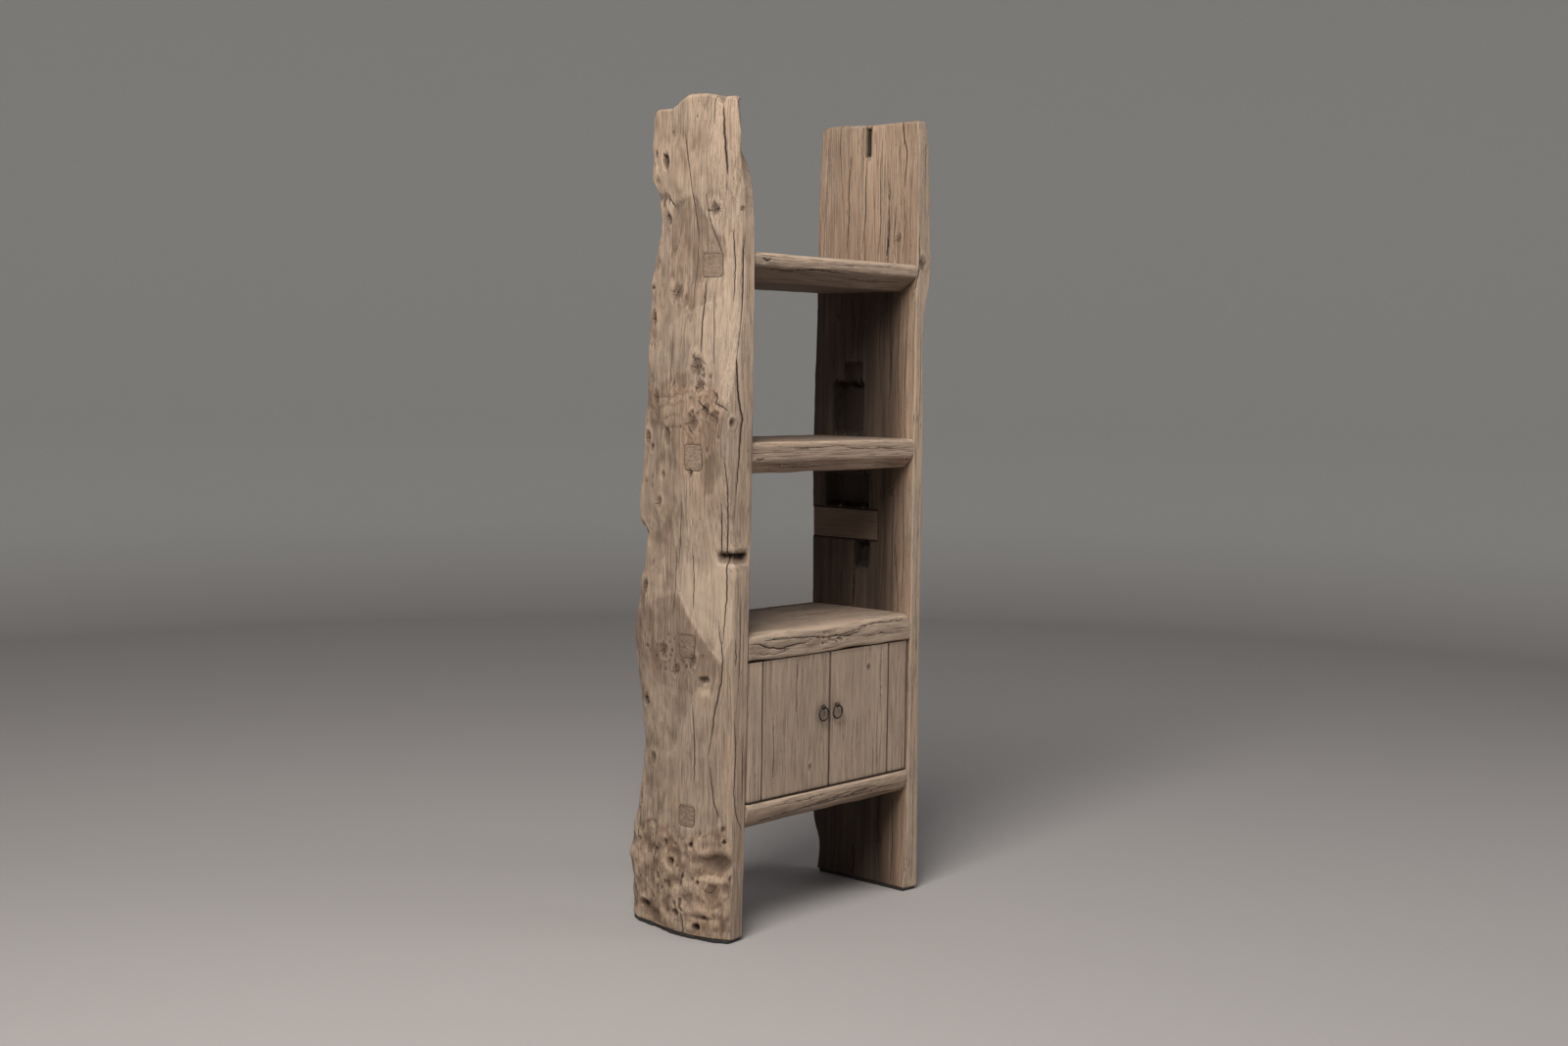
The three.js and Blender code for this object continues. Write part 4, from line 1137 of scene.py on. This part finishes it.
class Shader:
    """The node tree of one new material."""

    def __init__(self, name):
        self.material = bpy.data.materials.new(name)
        self.material.use_nodes = True
        self.tree = self.material.node_tree
        self.tree.nodes.clear()

    def node(self, kind, settings=None, inputs=None, out=0):
        """A node of a type, its settings set first, with its sockets' values or links."""
        made = self.tree.nodes.new(kind)
        for key, value in (settings or {}).items():
            setattr(made, key, value)
        for key, value in (inputs or {}).items():
            if isinstance(value, Field):
                self.tree.links.new(value.socket, made.inputs[key])
            else:
                made.inputs[key].default_value = value
        return Field(self, made.outputs[out])

    def attribute(self, name, part=None):
        """A named attribute's vector, or one of its three numbers."""
        vector = self.node("ShaderNodeAttribute", {"attribute_name": name}, out=1)
        return vector if part is None else self.part(vector, part)

    def part(self, vector, number):
        return self.node("ShaderNodeSeparateXYZ", {}, {0: vector}, out=number)

    def scaled(self, vector, size, shift=(0, 0, 0)):
        """A vector divided by a size in metres, part by part, and shifted."""
        factor = tuple(1 / s for s in size)
        inputs = {0: vector, 1: factor, 2: shift}
        return self.node("ShaderNodeVectorMath", {"operation": "MULTIPLY_ADD"}, inputs)

    def noise(self, vector, size, detail=3.0, roughness=0.5, distortion=0.0, shift=(0, 0, 0)):
        """Noise about 0.5 whose cells have a size in metres."""
        return self.node(
            "ShaderNodeTexNoise", {},
            {"Vector": self.scaled(vector, size, shift), "Scale": 1.0, "Detail": detail,
             "Roughness": roughness, "Distortion": distortion},
        )

    def mix(self, factor, a, b):
        """Colour a turned to colour b by a factor."""
        colours = [c if isinstance(c, Field) else (*c, 1.0) for c in (a, b)]
        return self.node(
            "ShaderNodeMix", {"data_type": "RGBA", "blend_type": "MIX"},
            {0: factor, 6: colours[0], 7: colours[1]}, out=2,
        )

    def finish(self, sockets, height=None, distance=0.001, strength=1.0):
        """Ends the tree in a Principled surface, with a bump from a height if there is one."""
        sockets = dict(sockets)
        if height is not None:
            sockets["Normal"] = self.node(
                "ShaderNodeBump", {}, {"Strength": strength, "Distance": distance, "Height": height}
            )
        surface = self.node("ShaderNodeBsdfPrincipled", {}, sockets)
        output = self.tree.nodes.new("ShaderNodeOutputMaterial")
        self.tree.links.new(surface.socket, output.inputs["Surface"])
        return self.material


# Each slot's own leaning: tone and warmth up or down, greying, the strength of ring lines, streaks, fibres
# and hair splits, and roughness. The inside slot's low tone is painted shade on the parts inside the case.
LEANING_KEYS = ("tone", "warmth", "grey", "rings", "streak", "fine", "hair", "rough")
LEANINGS = {
    "weathered_elm_left": (0.02, 0.0, 0.4, 0.7, 0.85, 0.6, 0.6, 0.82),
    "weathered_elm_right": (0.0, 0.2, 0.25, 0.5, 1.0, 0.7, 0.9, 0.8),
    "weathered_elm_board": (-0.14, 0.05, 0.35, 0.4, 0.7, 0.6, 0.45, 0.74),
    "weathered_elm_door": (0.0, 0.0, 0.4, 0.4, 0.42, 0.8, 0.4, 0.72),
    "weathered_elm_inside": (-0.45, 0.1, 0.15, 0.4, 0.8, 0.5, 0.6, 0.85),
}


def timber(name, leaning, settings):
    """Weathered elm. The grain attribute runs along the wood in its third number and across
    it in the other two, about the pith, so growth rings are steps of the distance from the
    pith, and pores and fibres are noise drawn out along the grain."""
    shader = Shader(name)
    grain = shader.attribute("grain")
    marks, wear = shader.attribute("marks"), shader.attribute("wear")
    split, gape, knots = (shader.part(marks, k) for k in range(3))
    hollow, tone, warmth = (shader.part(wear, k) for k in range(3))

    fibre = shader.noise(grain, (0.0019, 0.0019, 0.11), 3.0, 0.62)
    strand = shader.noise(grain, (0.0045, 0.0045, 0.2), 4.0, 0.6, 0.3, (7, 3, 1))
    band = shader.noise(grain, (0.02, 0.02, 0.5), 3.0, 0.55, 0.4, (2, 9, 4))
    blotch = shader.noise(grain, (0.055, 0.055, 0.13), 4.0, 0.6, 0.6, (5, 1, 8))
    cloud = shader.noise(grain, (0.16, 0.16, 0.4), 3.0, 0.5, 0.3, (1, 6, 2))
    speck = shader.noise(grain, (0.0026, 0.0026, 0.008), 3.0, 0.65, 0.0, (3, 3, 3))

    bend = shader.noise(grain, (0.045, 0.045, 0.35), 3.0, 0.5, 0.2, (4, 4, 9))
    flat = shader.node("ShaderNodeVectorMath", {"operation": "MULTIPLY"}, {0: grain, 1: (1, 1, 0.012)})
    from_pith = shader.node("ShaderNodeVectorMath", {"operation": "LENGTH"}, {0: flat}, out=1)
    count = from_pith * (1 / 0.0058) + bend * 5.5
    year = count.math("FRACT")
    ring = year.step(0.35, 0.93) * (1 - year.step(0.93, 1.0))
    thin = count * 2.7 + strand * 1.4
    thin = thin.math("FRACT")
    thin_ring = thin.step(0.5, 0.9) * (1 - thin.step(0.9, 1.0))

    crack_edge = (speck - 0.5) * 0.05
    opened = gape.step(0.004, 0.02)
    crack = (1 - (abs(split) - gape + crack_edge).step(-0.012, 0.022)) * opened
    seam = shader.noise(grain, (0.0085, 0.0085, 0.38), 2.0, 0.45, 0.3, (9, 5, 7))
    stain = (1 - (abs(split) - gape).step(-0.02, 0.16)) * gape.step(0.0, 0.1)
    hair = (1 - abs(strand - 0.5).step(0.0, 0.016)) * blotch.step(0.42, 0.6)
    hair = hair.math("MAXIMUM", (1 - abs(seam - 0.47).step(0.0, 0.016)) * cloud.step(0.38, 0.5))
    pores = (1 - fibre.step(0.3, 0.42)) * band.step(0.35, 0.62)

    level = 0.5 + leaning["tone"] * 0.5 + tone * 0.42 + (cloud - 0.5) * 0.6 + (blotch - 0.5) * 0.42
    level = level + ((band - 0.5) * 0.34 + (strand - 0.5) * 0.42) * leaning["streak"]
    level = level + (fibre.step(0.3, 0.7) - 0.5) * leaning["fine"] * 0.6 + hollow * 0.26
    level = level - ring * (0.26 * leaning["rings"]) - thin_ring * (0.12 * leaning["rings"]) - knots * 0.35
    colour = shader.mix(level.step(0.06, 0.55), settings.dark, settings.mid)
    colour = shader.mix(level.step(0.42, 0.98), colour, settings.pale)
    warm = (leaning["warmth"] + warmth * 0.6 + (cloud - 0.45) * 1.3 + (band - 0.5) * 0.8).clamp()
    colour = shader.mix(warm * 0.6, colour, shader.mix(0.5, colour, settings.warm))
    bleached = (leaning["grey"] + (blotch - 0.5) * 1.0 + (strand - 0.5) * 0.5 - warmth * 0.5).clamp()
    colour = shader.mix(bleached * 0.5, colour, settings.grey)
    whorl = (knots * 6.5 + blotch * 2.0).math("FRACT")
    whorl = whorl.step(0.3, 0.7) * (1 - whorl.step(0.75, 1.0)) * knots.step(0.03, 0.3)
    colour = shader.mix((knots.step(0.15, 1.0) * 0.4 + whorl * 0.35).clamp(), colour, settings.dark)
    # The hollows are darkened as old soil; where the tone is low, as in the painted shade, the wood is
    # darkened the same way.
    grime_and_painted_shade = ((-hollow).step(0.1, 0.95) * (0.35 + speck * 0.6) + (-tone).step(0.45, 1.5) * 0.7).clamp()
    colour = shader.mix(grime_and_painted_shade * 0.75, colour, shader.mix(0.35, settings.dark, settings.dirt_and_painted_shade))
    lines = (pores * 0.45 + hair * leaning["hair"] + stain * 0.3).clamp()
    colour = shader.mix(lines, colour, shader.mix(0.4, settings.dark, settings.dirt_and_painted_shade))
    # Painted shade: the open splits, and wood whose tone is lowest (the dark inner face under the shelves,
    # the pocket floors and the holes), are turned nearly black.
    black = ((-tone).step(0.55, 2.1) * 0.92).math("MAXIMUM", crack * settings.crack_darkness)
    colour = shader.mix(black, colour, settings.dirt_and_painted_shade)

    roughness = leaning["rough"] + (fibre - 0.5) * 0.15 - warmth * 0.05 + crack * 0.1
    height = fibre * 0.28 + strand * 0.42 + speck * 0.22 - ring * 0.2 - pores * 0.3 - hair * 0.5 - crack * 1.6
    sockets = {"Base Color": colour, "Roughness": roughness, "Specular IOR Level": 0.35}
    return shader.finish(sockets, height, settings.grain_relief, 0.75)


def iron(name, dark, rust, rusting, settings_rough):
    """Forged iron: a black skin with rusty bloom where broad noise is high, and fine scale."""
    shader = Shader(name)
    place = shader.node("ShaderNodeTexCoord", {}, {}, out=3)
    bloom = shader.noise(place, (0.006, 0.006, 0.006), 4.0, 0.6)
    scale = shader.noise(place, (0.0009, 0.0009, 0.0009), 3.0, 0.6)
    rusty = (bloom + (scale - 0.5) * 0.3 + (rusting - 0.5)).step(0.38, 0.72)
    colour = shader.mix(rusty, dark, rust)
    colour = shader.mix((scale - 0.4).clamp() * 0.6, colour, tuple(min(1, 2.2 * c) for c in dark))
    sockets = {"Base Color": colour, "Metallic": 0.75, "Roughness": settings_rough + rusty * 0.2}
    return shader.finish(sockets, bloom * 0.6 + scale * 0.5, 0.0004)


def plain(name, colour, roughness, bump):
    """A quiet finish with a little mottling."""
    shader = Shader(name)
    place = shader.node("ShaderNodeTexCoord", {}, {}, out=3)
    mottle = shader.noise(place, (0.004, 0.004, 0.004), 3.0, 0.5)
    tinted = shader.mix(mottle, tuple(c * 0.85 for c in colour), tuple(min(1, c * 1.15) for c in colour))
    return shader.finish({"Base Color": tinted, "Roughness": roughness}, mottle, bump)


def studio(floor, wall):
    """A pale floor that turns into a darker wall as the sweep rises."""
    shader = Shader("studio_finish")
    place = shader.node("ShaderNodeTexCoord", {}, {}, out=3)
    colour = shader.mix(shader.part(place, 2).step(0.0, 0.5), floor, wall)
    return shader.finish({"Base Color": colour, "Roughness": 0.85})


def finish_for(slot):
    """The material of a slot, made the first time it is asked for."""
    name = slot + "_finish"
    found = bpy.data.materials.get(name)
    if found:
        return found
    scene = bpy.context.scene
    if slot in LEANINGS:
        return timber(name, dict(zip(LEANING_KEYS, LEANINGS[slot])), scene.shelf_timber)
    metal = scene.shelf_iron
    if slot == "blackened_iron":
        return iron(name, metal.black, metal.rust, 0.32, 0.5)
    if slot == "rusted_nail_iron":
        return iron(name, metal.black, metal.rust, 0.62, 0.62)
    # The near-black rubber of the soles, which also stands in for the shade under the slabs' feet.
    return plain(name, (0.018, 0.017, 0.016), 0.75, 0.0002)


# ---- pieces --------------------------------------------------------------------------------


# Each slab's shape, the points on its four faces, where its rows crowd together as [centre,
# half height, factor], and its carving.
SLABS = {
    "left": (LEFT, LEFT_COUNTS, [(120, 130, 1.5), (1240, 90, 1.5), (640, 60, 1.4)], carve_left),
    "right": (RIGHT, RIGHT_COUNTS, [(920, 60, 1.8), (1010, 60, 1.3), (1210, 90, 1.4)], carve_right),
}


@functools.cache
def slab(which, lump_height):
    """A carved slab, and a reader of its outer face from before the tenons' recesses."""
    shape, counts, busy, carve = SLABS[which]
    skin = slab_skin(shape, stretched_rows(SLAB_BASE, SLAB_TOP, ROW_STEP, busy), counts)
    carve(skin, lump_height)
    # Nothing is pushed out of the underside, so the slab stands flat.
    skin.push *= ease(-skin.n[..., 2], 0.8, 0.3)
    read = face_reader(skin, 1)
    for box in PLUGS.values():
        recess(skin, box, 3.0, zone(skin, 1), 2.0, 11.0, 0.3)
    return skin, read


def place(made, body, nodes, slot):
    """Gives a new piece its slot's finish and its body, and hides the CAD nodes it stands for."""
    made.data.materials.append(finish_for(slot))
    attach(made, body)
    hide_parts(*nodes)
    return made


class LeftSlab(bpy.types.Operator):
    """Make the left slab side with its natural outer face"""

    bl_idname = "shelf.left_slab"
    bl_label = "Left Slab"

    def execute(self, context):
        skin, _ = slab("left", context.scene.shelf_timber.lump_height)
        made = join_skins("left_slab_timber", [skin], (LEFT_X + 45, FRONT + 150, 0))
        place(made, "case", ["left_slab"], "weathered_elm_left")
        return {"FINISHED"}


class RightSlab(bpy.types.Operator):
    """Make the right slab side with its old joint pockets and the patch let into it"""

    bl_idname = "shelf.right_slab"
    bl_label = "Right Slab"

    def execute(self, context):
        skin, _ = slab("right", context.scene.shelf_timber.lump_height)
        made = join_skins("right_slab_timber", [skin], (RIGHT_X - 30, FRONT + 60, 900))
        place(made, "case", ["right_slab"], "weathered_elm_right")
        patch = small_plank("right_slab_patch_timber", "right_slab_patch", "y", (40, -60), 21, patch_painted_shade)
        place(patch, "case", ["right_slab_patch"], "weathered_elm_right")
        return {"FINISHED"}


class Boards(bpy.types.Operator):
    """Make the four shelf boards with their tenons"""

    bl_idname = "shelf.boards"
    bl_label = "Shelf Boards"

    def execute(self, context):
        lump_height = context.scene.shelf_timber.lump_height
        readers = [slab(which, lump_height)[1] for which in ("left", "right")]
        for name in BOARDS:
            place(shelf_board(name, readers), "case", [name], "weathered_elm_board")
        return {"FINISHED"}


def patch_painted_shade(skin):
    """Darkens the patch as painted shade, to match the painted shade on the wood round it."""
    skin.tone -= 1.05
    skin.warmth -= 0.1


def back_marks(number):
    """Shallow waves, hair splits and one knot for a back board."""
    def marks(skin):
        skin.push += 0.5 * rough(skin.ordered(), (16, 16, 120), 2, 60 + number)
        skin.aim(skin.u, skin.w)
        fine_splits(skin, 24, (skin.u.min() + 5, skin.u.max() - 5), (skin.w.min(), skin.w.max()),
                    (60, 240), (0.4, 1.0), 90 + number, facing(skin, 1, 1) | facing(skin, 1, -1))
        at = (skin.u.mean() + 30 * (number - 1) - 12, 420 + 70 * number)
        skin.knot(at, 9, seed=number, rim=0.6, core=-0.8)
    return marks


class BackBoards(bpy.types.Operator):
    """Make the back boards, the door stop and their nails"""

    bl_idname = "shelf.back_boards"
    bl_label = "Back Boards"

    def execute(self, context):
        for k in (1, 2, 3):
            node = "back_board_%d" % k
            pith = (30 * k - 60, -90)
            made = small_plank(node + "_timber", node, "z", pith, 30 + k, back_marks(k), None, (3.0, 6.0))
            place(made, "case", [node], "weathered_elm_inside")
        made = small_plank("door_stop_timber", "door_stop", "x", (0, 40), 41)
        place(made, "case", ["door_stop"], "weathered_elm_inside")
        for node in sorted(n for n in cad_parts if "_nail_" in n):
            make_nail(node, "y" if node.startswith("back") else "z")
        return {"FINISHED"}


def make_nail(node, axis):
    """A forged nail: a domed, dented head over a thin shank, as a profile spun about the
    node's own axis. The head is on the side of the node where it is widest."""
    low, high = corners_of(node)
    along = "xyz".index(axis)
    centre = (low + high) / 2
    head, tail = (high[along], low[along]) if axis == "y" else (low[along], high[along])
    way = 1 if head > tail else -1
    radius = (high - low).min() / 2
    centre[along] = 0
    profile = [
        (tail, 0.1), (tail + way * 2, 1.0), (head - way * 1.6, 1.2), (head - way * 1.5, radius * 0.96),
        (head - way * 1.1, radius), (head - way * 0.5, radius * 0.85), (head - way * 0.15, radius * 0.5),
        (head, 0.1),
    ]
    made = turned(node + "_iron", centre, axis, profile, 16, 0.12, sum(map(ord, node)))
    place(made, "case", [node], "rusted_nail_iron")


def door_marks(number, inner):
    """Hair splits, edges darkened as painted shade in the gaps, a dirty spot round the pull, and each door's
    own knot and longer splits, which show on whichever board they fall on."""
    def marks(skin):
        q = skin.ordered()
        skin.push += 0.35 * rough(q, (13, 13, 160), 3, 80 + number)
        front = facing(skin, 1, -1)
        skin.aim(skin.u, skin.w)
        low, high = skin.w.min(), skin.w.max()
        count = 34 if inner else 8
        fine_splits(skin, count, (skin.u.min() + 4, skin.u.max() - 4), (low, high), (50, 230), (0.12, 0.34),
                    120 + number, front)
        if number == 1:
            skin.crack([(-106, high), (-110, 560), (-104, 440)], 0.9, 3, front)
            skin.knot((-60, 372), 8, seed=4, rays=2, rim=0.5, core=-0.8, where=front)
            skin.crack([(-190, 520), (-186, 420), (-192, low)], 0.8, 3, front)
        if number == 2:
            skin.crack([(198, high), (200, 560), (197, 470)], 0.9, 3, front)
            skin.crack([(96, 470), (92, 400), (98, low)], 0.7, 2, front)
            skin.knot((150, 590), 7, seed=5, rays=2, rim=0.5, core=-0.8, where=front)
        # Painted shade: dark bands along each board's long edges and at its bottom end stand in for the shade
        # in the gaps round the boards; both ends are also a little darker.
        edge = np.minimum(skin.u - skin.u.min(), skin.u.max() - skin.u)
        flat = 0.2 + 0.8 * ease(np.abs(skin.n[..., 1]), 0.3, 0.8)
        skin.tone += 0.16 - (2.6 if inner else 2.2) * flat * np.exp(-((edge / 2.0) ** 2))
        skin.tone -= 2.4 * flat * np.exp(-(((skin.w - low) / 3.0) ** 2))
        ends = ease(skin.w, low + 14, low + 2) + ease(skin.w, high - 14, high - 2)
        skin.tone -= 0.45 * ends
        from_pull = np.hypot(skin.u - DOOR_EYES[number - 1], skin.w - PULL_HEIGHT)
        skin.tone -= 0.5 * np.exp(-((from_pull / 20) ** 2)) * inner
        skin.tone += 0.2 * ((number + inner) % 2)
    return marks


def eye_place(eye):
    """Where across the front a pull's eye is."""
    low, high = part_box(eye)
    return (low + high)[0] / 2 / MM


DOOR_EYES = (eye_place("left_pull_eye"), eye_place("right_pull_eye"))
PULL_HEIGHT = 500  # height of the dirty spot round a pull


class Doors(bpy.types.Operator):
    """Make the two doors: boards and battens, each riding on its own hinge"""

    bl_idname = "shelf.doors"
    bl_label = "Doors"

    def execute(self, context):
        for number, name in ((1, "left"), (2, "right")):
            body = name + "_door"
            way = -1 if name == "left" else 1
            node = name + "_door_outer_board"
            low, high = corners_of(node)
            front, back = low[1], high[1]
            joint, outer = (high[0], low[0]) if way < 0 else (low[0], high[0])
            radius = (back - front) / 2
            turn = np.linspace(-math.pi / 2, math.pi / 2, 13)
            centre = outer - way * radius
            middle = (front + back) / 2
            arc = [(centre + way * radius * math.cos(a), middle + radius * math.sin(a)) for a in turn]
            outline = [(joint, front)] + arc + [(joint, back)]
            if way < 0:
                outline = outline[::-1]
            made = small_plank(node + "_timber", node, "z", (way * -30, 120), 50 + number,
                               door_marks(number, False), outline, (1.6, 4.4), 1.2, 0, 0)
            place(made, body, [node], "weathered_elm_door")
            node = name + "_door_inner_board"
            made = small_plank(node + "_timber", node, "z", (way * 70, 100), 55 + number,
                               door_marks(number, True), None, (2.0, 4.0), 1.4, 0)
            place(made, body, [node], "weathered_elm_door")
            for place_name in ("lower", "upper"):
                node = "%s_door_%s_batten" % (name, place_name)
                low, high = corners_of(node)
                back_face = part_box(name + "_door_inner_board")[1].y / MM
                z0, z1 = low[2] + 4, high[2] - 4
                outline = [(back_face - 1.5, z0), (high[1] - 2, z0), (high[1], z0 + 3), (high[1], z1 - 3),
                           (high[1] - 2, z1), (back_face - 1.5, z1)]
                seed = 60 + number
                made = small_plank(node + "_timber", node, "x", (30, 20), seed, None, outline, (1.8, 5.0))
                place(made, body, [node], "weathered_elm_inside")
        return {"FINISHED"}


EYE_RADIUS, EYE_WIRE = 4.9, 1.25
EYE_OPENING = 0.42  # half the gap in the loop where its legs leave it, in radians
EYE_FORWARD = 6.6  # the loop's middle behind the front of its node
LEG_SUNK = 1.4  # the clenched legs in from the back of their node
LEG_BEND = 3.2


class Pulls(bpy.types.Operator):
    """Make the forged ring pulls and their split-pin eyes, and blacken the pivots"""

    bl_idname = "shelf.pulls"
    bl_label = "Ring Pulls"

    def execute(self, context):
        wire = context.scene.shelf_iron.ring_wire / MM
        for name in ("left", "right"):
            node = name + "_pull_ring"
            low, high = corners_of(node)
            centre = (low + high) / 2
            radius = (high[0] - low[0]) / 2 - wire
            turn = np.linspace(0, 2 * math.pi, 73)[:-1]
            path = centre + radius * np.stack([np.cos(turn), 0 * turn, np.sin(turn)], -1)
            # A lap weld at the bottom swells the wire, and the forging leaves it a little uneven.
            size = wire * (1 + 0.1 * np.exp(-(((turn - 4.9) / 0.25) ** 2)) + 0.05 * np.sin(3 * turn + 1))
            made = tube(node + "_iron", path, np.minimum(size, wire * 1.06), True, 18, 0.1, 5)
            place(made, name + "_ring", [node], "blackened_iron")

            node = name + "_pull_eye"
            low, high = corners_of(node)
            x, z = (low[0] + high[0]) / 2, (low[2] + high[2]) / 2
            loop = low[1] + EYE_FORWARD
            legs = high[1] - LEG_SUNK
            turn = np.linspace(EYE_OPENING, 2 * math.pi - EYE_OPENING, 40)
            round_loop = [x + 0 * turn, loop + EYE_RADIUS * np.cos(turn), z + EYE_RADIUS * np.sin(turn)]
            eye = np.stack(round_loop, -1)
            made_legs = []
            for sign in (1, -1):
                start = legs - LEG_BEND
                shank = [(x, y, z + sign * 1.0) for y in np.linspace(loop + 7, start, 9)]
                bent = [(x, start + LEG_BEND * math.sin(a), z + sign * (1.0 + LEG_BEND * (1 - math.cos(a))))
                        for a in np.linspace(0.2, math.pi / 2, 7)]
                out = [(x, legs, z + sign * d) for d in np.linspace(5, 14, 6)]
                made_legs.append(np.array(shank + bent + out))
            path = np.vstack([made_legs[1][::-1], eye[::-1], made_legs[0]])
            made = tube(node + "_iron", path, EYE_WIRE, False, 14, 0.08, 9)
            place(made, name + "_door", [node], "blackened_iron")
            for node in (name + "_door_top_pivot", name + "_door_bottom_pivot", name + "_door_washer"):
                coat_node(node, "blackened_iron")
        return {"FINISHED"}


def coat_node(node, slot):
    """Puts a slot's finish on a CAD node that stays as it is."""
    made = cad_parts[node]
    if not made.material_slots:
        made.data.materials.append(None)
    for holder in made.material_slots:
        holder.material = finish_for(slot)


class Soles(bpy.types.Operator):
    """Make the black rubber soles under the slabs, whose black along the whole foot also stands in for the
    shade under it
    """

    bl_idname = "shelf.soles"
    bl_label = "Rubber Soles"

    def execute(self, context):
        for name in ("left", "right"):
            skin, _ = slab(name, context.scene.shelf_timber.lump_height)
            foot = skin.surface()[skin.body_rows][2]
            top = side(name + "_sole", 2, 1) + 1.0
            middle = (foot.max(0) + foot.min(0)) / 2
            half = (foot.max(0) - foot.min(0)) / 2
            # The slab's own foot, drawn in a little, with a rounded lower edge.
            insets = np.array([half[0] * 0.8, half[0] * 0.4, 5.6, 4.4, 3.6, 3.4, 3.4, 8.0, half[0] * 0.6])
            heights = np.array([0, 0, 0, 0.4, 1.6, 4.0, top, top, top])
            grow = 1 - insets[:, None, None] / half
            rings = middle + (foot - middle)[None] * grow
            rings[..., 2] = heights[:, None]
            size = (len(insets), len(foot), skin.out < 0)
            made = make_mesh(name + "_sole_rubber", rings.reshape(-1, 3), grid_quads(*size), end_faces(*size))
            place(made, "case", [name + "_sole"], "black_foot_rubber")
        return {"FINISHED"}


# ---- stage ---------------------------------------------------------------------------------
CAMERA_PLACE = Vector((-3.40746, -3.12477, 1.29543))
CAMERA_YAW, CAMERA_PITCH, CAMERA_ROLL = 0.829974, 0.0766898, 0.0138129
WALL_RADIUS, WALL_BEND, WALL_HEIGHT = 6.6, 1.0, 4.6


def aim_matrix(place, ahead, roll=0.0):
    """A camera's matrix: looking ahead from a place, its up turned by a roll."""
    ahead = ahead.normalized()
    right = ahead.cross(Vector((0, 0, 1))).normalized()
    up = right.cross(ahead)
    c, s = math.cos(roll), math.sin(roll)
    right, up = c * right + s * up, c * up - s * right
    turned_frame = Matrix((right, up, -ahead)).transposed().to_4x4()
    return Matrix.Translation(place) @ turned_frame


def soft_light(name, place, target, size, power, colour):
    """A square area light looking at a target."""
    data = bpy.data.lights.new(name, "AREA")
    data.shape, data.size, data.energy, data.color = "SQUARE", size, power, colour
    lamp = bpy.data.objects.new(name, data)
    bpy.context.scene.collection.objects.link(lamp)
    lamp.matrix_world = aim_matrix(Vector(place), Vector(target) - Vector(place))
    return lamp


class Stage(bpy.types.Operator):
    """Make the floor, the backdrop, the lights and the camera"""

    bl_idname = "shelf.stage"
    bl_label = "Floor, Lights and Camera"

    def execute(self, context):
        scene, settings = context.scene, context.scene.shelf_stage
        sweep = make_backdrop()
        sweep.data.materials.append(studio(settings.floor, settings.wall))
        soft_light("key_light", (-3.1, -1.5, 4.2), (0, 0, 1.0), 2.2, settings.key_power, (1.0, 0.975, 0.94))
        soft_light("fill_light", (2.9, -4.4, 2.0), (0, 0, 0.8), 2.4, settings.fill_power, (0.95, 0.97, 1.0))
        world = bpy.data.worlds.new("studio_air")
        world.use_nodes = True
        air = world.node_tree.nodes["Background"]
        air.inputs["Color"].default_value = (0.93, 0.95, 1.0, 1.0)
        air.inputs["Strength"].default_value = settings.sky
        scene.world = world
        data = bpy.data.cameras.new("camera")
        data.lens, data.sensor_width = settings.lens, 36.0
        data.clip_start, data.clip_end = 0.05, 60.0
        camera = bpy.data.objects.new("camera", data)
        scene.collection.objects.link(camera)
        yaw, pitch = CAMERA_YAW, CAMERA_PITCH
        ahead = Vector((math.sin(yaw) * math.cos(pitch), math.cos(yaw) * math.cos(pitch), -math.sin(pitch)))
        camera.matrix_world = aim_matrix(CAMERA_PLACE, ahead, CAMERA_ROLL)
        scene.camera = camera
        scene.view_settings.view_transform = "Standard"
        return {"FINISHED"}


def make_backdrop():
    """A round studio: a flat floor that bends up into a wall at the same distance all round,
    as a profile of [radius, height] points spun about the upright."""
    bend = np.linspace(0, math.pi / 2, 14)
    radius = np.concatenate([[0.05, 1.0, 3.0], WALL_RADIUS - WALL_BEND * (1 - np.sin(bend)), [WALL_RADIUS]])
    height = np.concatenate([[0, 0, 0], WALL_BEND * (1 - np.cos(bend)), [WALL_HEIGHT]])
    turn = 2 * math.pi * np.arange(96) / 96
    x = radius[:, None] * np.cos(turn)
    y = radius[:, None] * np.sin(turn)
    points = np.stack([x, y, height[:, None] + 0 * x], -1).reshape(-1, 3) / MM
    return make_mesh("studio_sweep", points, grid_quads(len(radius), 96, True), [np.arange(96)])


CLASSES = (TimberSettings, IronSettings, StageSettings, LeftSlab, RightSlab, Boards, BackBoards, Doors, Pulls,
           Soles, Stage)


class ShelfPanel(bpy.types.Panel):
    """The steps and settings of the shelf cupboard"""

    bl_idname = "VIEW3D_PT_reclaimed_shelf"
    bl_label = "Shelf Cupboard"
    bl_space_type = "VIEW_3D"
    bl_region_type = "UI"
    bl_category = "Timber"

    def draw(self, context):
        scene = context.scene
        for step in CLASSES[3:]:
            self.layout.operator(step.bl_idname)
        for group in (scene.shelf_timber, scene.shelf_iron, scene.shelf_stage):
            box = self.layout.box()
            for key in group.bl_rna.properties.keys():
                if key not in ("rna_type", "name"):
                    box.prop(group, key)


def register():
    for made in CLASSES + (ShelfPanel,):
        bpy.utils.register_class(made)
    bpy.types.Scene.shelf_timber = PointerProperty(type=TimberSettings)
    bpy.types.Scene.shelf_iron = PointerProperty(type=IronSettings)
    bpy.types.Scene.shelf_stage = PointerProperty(type=StageSettings)


def unregister():
    for key in ("shelf_timber", "shelf_iron", "shelf_stage"):
        delattr(bpy.types.Scene, key)
    for made in reversed(CLASSES + (ShelfPanel,)):
        bpy.utils.unregister_class(made)


def main():
    register()
    for step in CLASSES[3:]:
        family, action = step.bl_idname.split(".")
        getattr(getattr(bpy.ops, family), action)()


if __name__ == "__main__":
    main()
